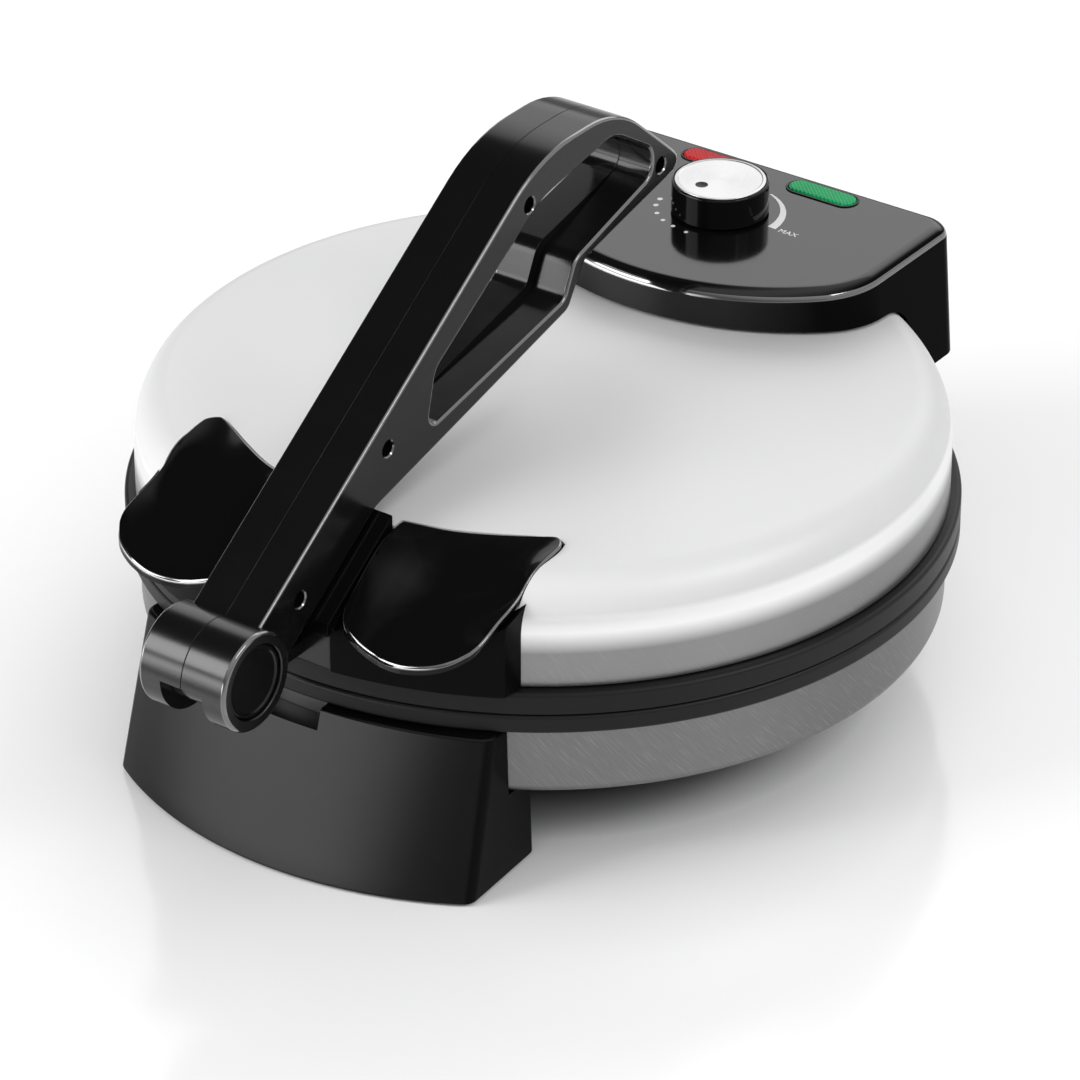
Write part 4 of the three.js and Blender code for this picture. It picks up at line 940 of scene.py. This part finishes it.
# Front foot
def foot_section(share, shrink=0.0):
    """The foot from above at a share of its height: a bowed front and a straight rear.

    Its sizes are the half width and the reach of the bow's middle and ends, low and high.
    """
    half, reach, corner = [low + (high - low) * share - shrink for low, high in FOOT_SIZES]
    bow = reach - corner
    radius = (half * half + bow * bow) / (2 * bow)
    places = [half * (2 * k / FOOT_BOW_STEPS - 1) for k in range(FOOT_BOW_STEPS + 1)]
    front = [(x, radius - reach - math.sqrt(radius * radius - x * x), 0) for x in places]
    first, last = [(*point[:2], FOOT_CORNER_R) for point in (front[0], front[-1])]
    rear = [(side * (half - FOOT_TAPER), -FOOT_REAR, FOOT_REAR_R) for side in (1, -1)]
    return rounded([first, *front[3:-3], last, *rear])


def pits(pads):
    return [rod("pit", *PIT, centre=spot) for spot in pads.values()]


wall = BASE_TOP - FOOT_EDGE - FOOT_LOW
rows = [(foot_section(share, shrink), FOOT_LOW + rise) for share, shrink, rise in FOOT_SILL]
rows += [(foot_section(k / FOOT_LAYERS), FOOT_LOW + wall * k / FOOT_LAYERS)
         for k in range(1, FOOT_LAYERS)]
rows += rounded_top(lambda shrink: foot_section(1, shrink), BASE_TOP, FOOT_EDGE, FOOT_EDGE, 4)
foot = stack("foot_front", rows)
carve(foot, base_room(GAP), block("notch", *NOTCH), block("pocket", *FOOT_POCKET),
      *pits(FRONT_PADS))
dress(foot, "foot_black", "base", ["front_foot"], angle=28)
for node, spot in {**FRONT_PADS, **REAR_PADS}.items():
    pad = lathe(node + "_foot", rounded(PAD), PAD_STEPS, spot)
    dress(pad, "rubber", "base", [node])


# Rear housing, hinge and cord inlet
def rear_outline(shrink):
    half, radius = REAR_HALF - shrink, REAR_CORNER - shrink
    front, back = REAR_FRONT + shrink, REAR_BACK - shrink
    return rounded([(-half, front, radius), (half, front, radius), (half, back, radius),
                    (-half, back, radius)])


rear = stack("housing_rear", [(rear_outline(1), FOOT_LOW), (rear_outline(0), FOOT_LOW + 1),
                              *rounded_top(rear_outline, BASE_TOP, REAR_EDGE, REAR_EDGE, 6)])
inlet_hole = along_y(rod("hole", *INLET_HOLE), INLET_X, INLET_Z)
carve(rear, base_room(GAP), block("pocket", *REAR_LOW_POCKET), block("pocket", *REAR_HIGH_POCKET),
      inlet_hole, *pits(REAR_PADS))
dress(rear, "foot_black", "base", ["rear_housing"], angle=28)


def knuckle(name, x0, x1, foot_z, body, look):
    """A barrel of the hinge and the web that carries it."""
    profile = rounded([(KNUCKLE_BORE, x0, KNUCKLE_EDGE / 2), (KNUCKLE_R, x0, KNUCKLE_EDGE),
                       (KNUCKLE_R, x1, KNUCKLE_EDGE), (KNUCKLE_BORE, x1, KNUCKLE_EDGE / 2)])
    barrel = along_x(lathe(name, profile, PAD_STEPS), HINGE_Y, HINGE_Z)
    low, high = sorted((foot_z, HINGE_Z + math.copysign(WEB_SINK, foot_z - HINGE_Z)))
    web = block(name + "_web", x0 + WEB_SIDE, x1 - WEB_SIDE, HINGE_Y - WEB_DEPTH,
                HINGE_Y + WEB_DEPTH, low, high)
    for obj in (soften(web, KNUCKLE_EDGE), barrel):
        dress(obj, look, body)
    return barrel


knuckle("knuckle_base_middle", -KNUCKLE_MIDDLE, KNUCKLE_MIDDLE, BASE_WEB_FOOT, "base", "foot_black")
for tag, side in SIDES:
    knuckle("knuckle_base_" + tag, *across(side, KNUCKLE_OUTER), BASE_WEB_FOOT, "base",
            "foot_black")
    arm = knuckle("knuckle_lid_" + tag, *across(side, KNUCKLE_ARM), LID_WEB_FOOT, "lid",
                  "satin_black")
    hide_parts("hinge_arm_" + tag)
    cover = block("hinge_cover_" + tag, *across(side, HINGE_COVER), *HINGE_COVER_BOX)
    carve(cover, lid_room(GAP, COVER_STEPS))
    dress(soften(cover, 0.4, segments=2), "satin_black", "lid")
pin = along_x(rod("hinge_rod", *HINGE_ROD, PIN_STEPS, edge=0.4), HINGE_Y, HINGE_Z)
dress(pin, "steel", "base", ["hinge_pin"])
inlet = along_y(lathe("inlet", rounded(INLET), PAD_STEPS), INLET_X, INLET_Z)
dress(inlet, "rubber", "base", ["cord_inlet"])

# Lid
lid = lathe("shell_lid", [
    *dome(-SHEET)[::-1], (LID_R - SHEET, LID_LOW + SHEET), (LID_R - FLANGE, LID_LOW + SHEET),
    (LID_R - FLANGE, LID_LOW), (LID_R - LIP, LID_LOW), (LID_R, LID_LOW + LIP), *dome(0)])
carve(lid, *[wing_slab(side, OVER, GAP) for tag, side in SIDES],
      saddle("room", SADDLE_HALF + GAP, GAP, OVER))
dress(lid, "steel_lid", "lid", ["lid_shell"], angle=30)
lid_ring = lathe("ring_lid", rounded(LID_RING))
dress(lid_ring, "ring_plastic", "lid", ["lid_ring"])


# Wings
def wing_border():
    """The outline of a wing in shares of its grid, with its long edges cut into even steps."""
    turns = rounded(WING_CORNERS, math.radians(11.3))
    points = []
    for (a, b), (c, d) in zip(turns, turns[1:] + turns[:1]):
        steps = WING_BORDER_STEPS if math.dist((a, b), (c, d)) > 0.5 else 1
        points += [(a + (c - a) * k / steps, b + (d - b) * k / steps) for k in range(steps)]
    return points


def wing(tag, side):
    """A thin curved sheet: its top, a rounded lip and its underside, as loops round its middle."""
    rows = wing_rows()
    border = wing_border()

    def at(u, v):
        a, b = min(u, 0.9999) * WING_GRID, min(v, 0.9999) * WING_GRID
        i, j = int(a), int(b)
        low = rows[j][i].lerp(rows[j][i + 1], a - i)
        high = rows[j + 1][i].lerp(rows[j + 1][i + 1], a - i)
        return low.lerp(high, b - j)

    def shrunk(share):
        return [at(0.5 + (u - 0.5) * share, 0.5 + (v - 0.5) * share) for u, v in border]

    rim = shrunk(1)
    inward = [(b - a).normalized() for a, b in zip(rim, shrunk(0.95))]

    def lip(back, down):
        return [p + d * back - Vector((0, 0, down)) for p, d in zip(rim, inward)]

    loops = [shrunk(share) for share in WING_TOP_LOOPS]
    loops += [lip(WING_LIP * (1 - s), WING_LIP * (1 - c)) for c, s in circle(WING_LIP_STEPS)]
    loops += [lip(0, WING_SHEET - WING_UNDER_LIP), lip(WING_UNDER_LIP, WING_SHEET)]
    loops += [[p - Vector((0, 0, WING_SHEET)) for p in shrunk(share)] for share in WING_UNDER_LOOPS]
    obj = loft("wing_cover_" + tag, [[(side * p.x, p.y, p.z) for p in loop] for loop in loops])
    first = len(WING_TOP_LOOPS)
    rounding = range((first + 1) * len(border), (first + WING_LIP_STEPS) * len(border))
    dress(obj, "gloss_black", "lid", ["wing_" + tag], angle=50, weighted=False,
          zones=[("black_edge", lambda polygon: polygon.index in rounding)])


for tag, side in SIDES:
    wing(tag, side)

# Front bracket: a skin over the lid's front wall and the bed of the arm's trough
skin = lathe("bracket_front", [(LID_R + GAP, LID_LOW), (APRON_R, LID_LOW),
                               *dome(APRON_R - LID_R)[:APRON_POINTS],
                               *dome(GAP)[:APRON_POINTS][::-1]])
front = block("front", -APRON_HALF, APRON_HALF, -PAST, -APRON_REAR, LID_LOW + GAP, APRON_TOP)
carve(skin, front, operation="INTERSECT")
channel = block("channel", -CHANNEL_HALF, CHANNEL_HALF, -PAST, -CHANNEL_REAR, 0,
                arm_under(-APRON_R) - TROUGH_CLEAR)
carve(skin, channel, saddle("room", SADDLE_HALF, -TROUGH_FLOOR / 2, APRON_OVER),
      *[wing_slab(side, APRON_OVER, APRON_WIDEN) for tag, side in SIDES])
dress(skin, "painted_shade_black", "lid", ["front_bracket"], angle=28)
bed = saddle("bracket_bed", BED_HALF, 0, 0)
dress(soften(bed, 0.5, segments=2), "painted_shade_black", "lid")

# Lever bracket: back plate, lug and eye
bracket = block("bracket_lever", GAP - CHANNEL_HALF, CHANNEL_HALF - GAP, *BRACKET_PLATE)
carve(bracket, lid_room(GAP))
dress(soften(bracket, 0.6), "satin_black", "lid", ["lever_bracket"])
lug = block("bracket_lug", -EYE_HALF, EYE_HALF, *BRACKET_LUG)
dress(soften(lug, 0.5), "satin_black", "lid")
eye = along_x(lathe("bracket_eye", rounded(BRACKET_EYE)), *PIVOT)
dress(eye, "satin_black", "lid")


# Control housing
def hood_outline(half, depth):
    """The housing from above at an inset: a bowed front, blended corners and a straight rear."""
    half = half - depth
    bow, blend, corner = HOOD_BOW - depth, HOOD_CORNER - depth, HOOD_REAR_R - depth / 2
    centre, middle, rear_y = HOOD_FRONT + HOOD_BOW, half - blend, HOOD_REAR - depth
    blend_y = centre - math.sqrt((bow - blend) ** 2 - middle ** 2)
    meet = math.degrees(math.atan2(middle, centre - blend_y))
    front = [(bow * s, centre - bow * c) for c, s in circle(2 * HOOD_STEPS, -meet, 2 * meet)]
    right = [(middle + blend * s, blend_y - blend * c)
             for c, s in circle(HOOD_STEPS, meet, 90 - meet)[1:]]
    right += [(half - corner * (1 - c), rear_y - corner * (1 - s)) for c, s in circle(10)]
    return front + right + [(-x, y) for x, y in right[::-1]]


def hood(name, low, wall, steps):
    """The housing's outside, or the room inside its walls."""
    top = rounded_top(lambda depth: hood_outline(HOOD_HALF, wall + depth), HOOD_TOP - wall,
                      HOOD_EDGE, HOOD_EDGE, steps)
    return stack(name, [(hood_outline(HOOD_HALF + HOOD_DRAFT, wall), low), *top])


def pill(side, clear):
    """The outline of a light, grown by a clearance."""
    radius = LENS_WIDE / 2 + clear
    straight = (LENS_LONG - LENS_WIDE) / 2
    return [(side * LENS_X + end * straight + radius * c, LENS_Y + radius * s)
            for end in (1, -1) for c, s in circle(20, -90 * end, 180)]


def on_rim(polygon):
    low, high = HOOD_RIM_TILT
    return polygon.center.z > (HOOD_TOP - HOOD_EDGE) * MM and low < polygon.normal.z < high


housing = hood("housing_control", HOOD_LOW, 0, 8)
opening = (HOOD_TOP - OVER / 2, HOOD_TOP + OVER / 2)
carve(housing, hood("room", HOOD_LOW - OVER / 2, HOOD_WALL, 3), lid_room(HOOD_CLEAR),
      rod("room", SHAFT_HOLE, *opening, centre=(0, KNOB_Y)),
      *[stack("room", [(pill(side, LENS_ROOM), z) for z in opening]) for side in (-1, 1)])
dress(housing, "hood_black", "lid", ["control_housing"], angle=28, zones=[("black_edge", on_rim)])

for color, side in (("red", -1), ("green", 1)):
    top = rounded_top(lambda shrink: pill(side, -LENS_GAP - shrink), HOOD_TOP + LENS_TOP,
                      LENS_ROUND, LENS_RISE, 6)
    cover = stack("lens_" + color, [(pill(side, -LENS_GAP), HOOD_TOP - LENS_SINK), *top])
    dress(cover, color + "_light", "lid", [color + "_lens"], angle=50)
    loops = [[(x, y, HOOD_TOP + up) for x, y in pill(side, clear)] for clear, up in BEZEL]
    dress(loft("bezel_" + color, loops, around=True), "gloss_black", "lid")


# Knob
def dish(radius, depth, turn):
    return [(radius * s, DIMPLE_RIM - depth * c) for c, s in circle(10, 0, turn)]


skirt = lathe("knob_skirt", rounded(KNOB_SKIRT), KNOB_STEPS, (0, KNOB_Y))
dress(skirt, "gloss_black", "knob", ["knob_body"])
cap = lathe("knob_top", rounded(KNOB_CAP), KNOB_STEPS, (0, KNOB_Y))
spot = (DIMPLE_REACH * math.cos(KNOB_ANGLE), KNOB_Y + DIMPLE_REACH * math.sin(KNOB_ANGLE))
carve(cap, lathe("bowl", [*dish(*DIMPLE_BOWL), *BOWL_TOP], PIN_STEPS, spot))
dress(cap, "silver", "knob", ["knob_cap"], angle=40)
# The grey cup in the dimple is painted shade in the hollow of the silver cap
dimple = lathe("knob_dimple", [*dish(*DIMPLE_CUP), *CUP_FOOT], PIN_STEPS, spot)
dress(dimple, "dimple_painted_shade", "knob")


# Dial marks, printed on the housing: six dots, an arc that grows thicker and the word at its end
def arc_edge(outwards):
    start, growth = DIAL_ARC_HALF
    edge = []
    for k, (c, s) in enumerate(circle(DIAL_ARC_STEPS, *DIAL_ARC_TURN)):
        reach = DIAL_ARC_R + outwards * (start + growth * k / DIAL_ARC_STEPS)
        edge.append((reach * c, KNOB_Y + reach * s))
    return edge


for index, spot in enumerate(DIAL_DOTS):
    dot = rod(f"dial_dot_{index + 1}", DIAL_DOT_R + DIAL_DOT_GROWTH * index, *PRINT, DOT_STEPS,
              centre=spot)
    dress(dot, "print", "lid")
arc = arc_edge(-1) + arc_edge(1)[::-1]
dress(stack("dial_arc", [(arc, z) for z in PRINT]), "print", "lid")
words = bpy.data.curves.new("dial_word", "FONT")
words.body = "MAX"
words.size = DIAL_WORD_SIZE * MM
words.align_x = "CENTER"
words.align_y = "CENTER"
words.extrude = DIAL_WORD_THICK * MM
word = add_object("dial_word", words)
word.location = place(DIAL_WORD)
word_mesh = final_mesh(word)
word_mesh.transform(word.matrix_world)
bpy.data.objects.remove(word)
dress(add_object("dial_word", word_mesh), "print", "lid", weighted=False)


# Lever
def lever_point(along, up):
    return (LEVER_REACH * along - PIVOT_Y, LEVER_RISE * up + PIVOT_Z)


def lever_corners(shares):
    return [(*lever_point(a, b), LEVER_RISE * radius) for a, b, radius in shares]


def lever_outline():
    """The lever from the side, without its barrel."""
    long = math.hypot(1, ARM_SLOPE)
    over, under = ARM_OVER * long, ARM_UNDER * long
    first, *others = lever_corners(LEVER_TOP)
    shoulder = (LEVER_TOP[0][1] * LEVER_RISE - over) / ARM_SLOPE - PIVOT_Y
    bar = LEVER_REACH * UNDER_BAR
    return rounded([(-PIVOT_Y, PIVOT_Z + over, 0), (shoulder, *first[1:]), *others,
                    (bar - PIVOT_Y, PIVOT_Z + ARM_SLOPE * bar - under, ARM_UNDER),
                    (ARM_UNDER - PIVOT_Y, PIVOT_Z + ARM_SLOPE * ARM_UNDER - under, 0)],
                   math.radians(5))


def window(side):
    """The grip's window; the far half's lower wall is higher, which closes the view through it."""
    x, z = WINDOW_STEP if side < 0 else (0, 0)
    shares = [(a + x, b + z, radius) if k in WINDOW_STEP_CORNERS else (a, b, radius)
              for k, (a, b, radius) in enumerate(WINDOW)]
    return rounded(lever_corners(shares), math.radians(6))


def from_pivot(polygon):
    """A polygon's distance across from the middle and outwards from the pivot's axis."""
    reach = (polygon.center - Vector(place((0, -PIVOT_Y, PIVOT_Z)))) / MM
    return abs(reach.x), math.hypot(reach.y, reach.z)


def on_barrel(polygon):
    return from_pivot(polygon)[1] < BARREL_R + 0.3


def on_bevel(polygon):
    """The bevels of the arm and the rounded edge of the barrel."""
    x, r = from_pivot(polygon)
    tilt = abs(polygon.normal.x)
    arm = LEVER_HALF - LEVER_BEVEL < x < LEVER_HALF - 0.02 and r > BARREL_R + 0.5
    barrel = x > BARREL_HALF - BARREL_EDGE and r > BARREL_R - BARREL_EDGE
    return (arm and 0.12 < tilt < 0.99) or (barrel and tilt > 0.12)


def lever_half(tag, side):
    """One half of the lever with its half of the barrel, split on the middle plane."""
    sections = [(side * SEAM, SEAM_BEVEL), (side * (SEAM + SEAM_BEVEL), 0)]
    sections += [(side * (LEVER_HALF - LEVER_BEVEL * (1 - s)), LEVER_BEVEL * (1 - c))
                 for c, s in circle(4)]
    if side < 0:
        sections = SEAM_TONGUE + sections
    pits = [(lever_point(*shares), SCREW_HOLE, SCREW_FLOOR, SCREW_HOLE_LIP) for shares in SCREWS]
    half = slab_x("lever_half_" + tag, lever_outline(), sections, window(side),
                  pits if side > 0 else ())
    profile = rounded([(0, SEAM, 0), (BARREL_R, SEAM, SEAM), (BARREL_R, BARREL_HALF, BARREL_EDGE),
                       (CAP_R, BARREL_HALF, 0.5), (CAP_R, CAP_FLOOR, 0), (0, CAP_FLOOR, 0)],
                      math.radians(7))
    barrel = lathe("barrel", [(r, side * x) for r, x in profile], BARREL_STEPS)
    carve(half, along_x(barrel, *PIVOT), operation="UNION")
    reach = EYE_HALF + SLOT_CLEAR
    wedge = [(SLOT_REACH * c - PIVOT_Y, PIVOT_Z + SLOT_REACH * s)
             for c, s in circle(20, *SLOT_TURN)]
    slot = slab_x("slot", [PIVOT, *wedge], [(-reach, 0), (reach, 0)])
    room = along_x(rod("room", EYE_R + SLOT_CLEAR, -reach, reach), *PIVOT)
    bore = along_x(rod("bore", *PIVOT_BORE, PIN_STEPS), *PIVOT)
    carve(half, slot, room, bore)
    dress(half, "satin_black", "lever", ["lever_" + tag], angle=28,
          zones=[("black_edge", on_bevel), ("barrel_black", on_barrel)])
    disc = lathe("barrel_disc_" + tag, [(r, side * x) for r, x in rounded(DISC)], ROD_STEPS)
    dress(along_x(disc, *PIVOT), "satin_black", "lever", ["barrel_cap_" + tag])


for tag, side in SIDES:
    lever_half(tag, side)
pivot = along_x(rod("lever_pin", *PIVOT_PIN, PAD_STEPS, edge=0.4), *PIVOT)
dress(pivot, "steel", "lever", ["pivot_pin"])
for index, shares in enumerate(SCREWS):
    y, z = lever_point(*shares)
    head = along_x(lathe(f"lever_fixing_{index + 1}", rounded(SCREW_HEAD), SCREW_STEPS), y, z)
    long, thin = SCREW_CROSS
    carve(head, *[block("cut", *SCREW_CROSS_ENDS, y - a, y + a, z - b, z + b)
                  for a, b in ((long, thin), (thin, long))])
    dress(head, "dark_steel", "lever", [f"lever_screw_{index + 1}"])

# Hidden and small CAD nodes keep their shape and get a worked surface
CARRIED = {
    "lower_heater": "heater_metal", "upper_heater": "heater_metal",
    "lower_reflector": "dark_steel", "upper_reflector": "dark_steel", "base_cover": "dark_steel",
    "terminal_block": "ceramic", "thermostat": "ceramic", "thermostat_shaft": "steel",
    "red_lamp": "glass", "green_lamp": "glass", "lever_rest_pad": "rubber",
    **{f"{end}_stud_{index}": "steel" for end in ("lower", "upper") for index in (1, 2, 3)},
}
for node, look in CARRIED.items():
    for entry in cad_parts[node].material_slots:
        entry.material = LOOKS[look]

# Floor: a pale sheet with a soft gloss and a painted shadow, dark under the body
floor_look = Look("floor", (0.93, 0.93, 0.93), 0.13, Specular_IOR_Level=0.45)
floor_look.roughness(floor_look.noise(9.0, 2.0), 0.3, 0.7, 0.02)
floor_x, floor_y, _ = floor_look.split(floor_look.where)
from_body = floor_look.reach(floor_x, floor_look.math("SUBTRACT", floor_y, SHIFT))
floor_look.tint(floor_look.span(from_body, *FLOOR_PAINTED_SHADOW, 0.0, 1.0), 0.1, 1.0)
floor_mesh = bpy.data.meshes.new("floor")
floor_mesh.from_pydata([(x * FLOOR_HALF, y * FLOOR_HALF, 0) for x, y in
                        ((-1, -1), (1, -1), (1, 1), (-1, 1))], [], [(0, 1, 2, 3)])
floor_mesh.materials.append(floor_look.material)
floor = add_object("floor", floor_mesh)
floor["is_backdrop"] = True

# World: a studio, brighter overhead, with a dark flag on the left and a low glow at the front
world = bpy.data.worlds.new("studio")
bpy.context.scene.world = world
world.use_nodes = True
sky = Nodes(world.node_tree)
for node in list(sky.tree.nodes):
    sky.tree.nodes.remove(node)
where = sky.node("ShaderNodeTexCoord").outputs["Generated"]
height = sky.split(where)[2]


def smooth(value, low, high, start, end):
    return sky.span(value, low, high, start, end, interpolation_type="SMOOTHSTEP")


def toward(direction, near, far, away, level):
    """A level that holds within near degrees of a direction and fades to away at far degrees."""
    dot = sky.node("ShaderNodeVectorMath", operation="DOT_PRODUCT")
    dot.inputs[1].default_value = Vector(direction).normalized()
    sky.link(where, dot.inputs[0])
    far, near = (math.cos(math.radians(angle)) for angle in (far, near))
    return smooth(dot.outputs["Value"], far, near, away, level)


overhead = sky.times(toward((0.35, 0.15, 0.93), 45, 84, 0.3, 0.94),
                     toward((-0.66, 0.0, 0.75), 24, 42, 1.0, 0.05))
horizon = sky.times(smooth(height, 0.02, 0.08, 0.5, 0.0), toward((0.95, 0.1, 0), 55, 80, 0.0, 1.0))
front_glow = sky.times(smooth(height, 0.1, 0.26, 1.0, 0.0),
                       toward((-0.57, -0.82, 0), 14, 48, 0.0, 6.0))
room = sky.node("ShaderNodeBackground")
room.inputs["Color"].default_value = (1, 1, 1, 1)
sky.link(sky.plus(overhead, sky.plus(horizon, front_glow)), room.inputs["Strength"])
sky.link(room.outputs[0], sky.node("ShaderNodeOutputWorld").inputs["Surface"])


# Camera at the photograph's angle, and three soft boxes
def stand(name, data, target, azimuth, elevation, distance):
    """Faces a camera or lamp to a target from degrees round from the front and degrees up."""
    a, e = math.radians(azimuth), math.radians(elevation)
    outward = Vector((math.sin(a) * math.cos(e), -math.cos(a) * math.cos(e), math.sin(e)))
    obj = add_object(name, data)
    obj.location = Vector((0, SHIFT, target)) + outward * distance
    obj.rotation_euler = (-outward).to_track_quat("-Z", "Y").to_euler()
    return obj


def lamp(name, azimuth, elevation, distance, width, height, radiance):
    """A soft box whose power follows from its area and the level that it shows in gloss."""
    data = bpy.data.lights.new(name, "AREA")
    data.shape = "RECTANGLE"
    data.size = width
    data.size_y = height
    data.energy = radiance * math.pi * width * height
    stand(name, data, LAMP_TARGET, azimuth, elevation, distance)


camera_data = bpy.data.cameras.new("camera")
camera_data.lens = CAMERA_LENS
camera_data.sensor_width = 36
camera_data.shift_x = CAMERA_SHIFT
camera_data.clip_start = 0.1
camera_data.clip_end = 30
camera = stand("camera", camera_data, CAMERA_TARGET, *CAMERA_PLACE)
bpy.context.scene.camera = camera
lamp("back_box", 200, 32, 2.4, width=3.2, height=1.5, radiance=1.16)
lamp("barrel_box", -38, 29, 1.9, width=1.0, height=0.8, radiance=7.5)
lamp("edge_box", 92, 36, 1.9, width=0.9, height=0.3, radiance=8.0)

bpy.context.scene.view_settings.view_transform = "Standard"

low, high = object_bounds()
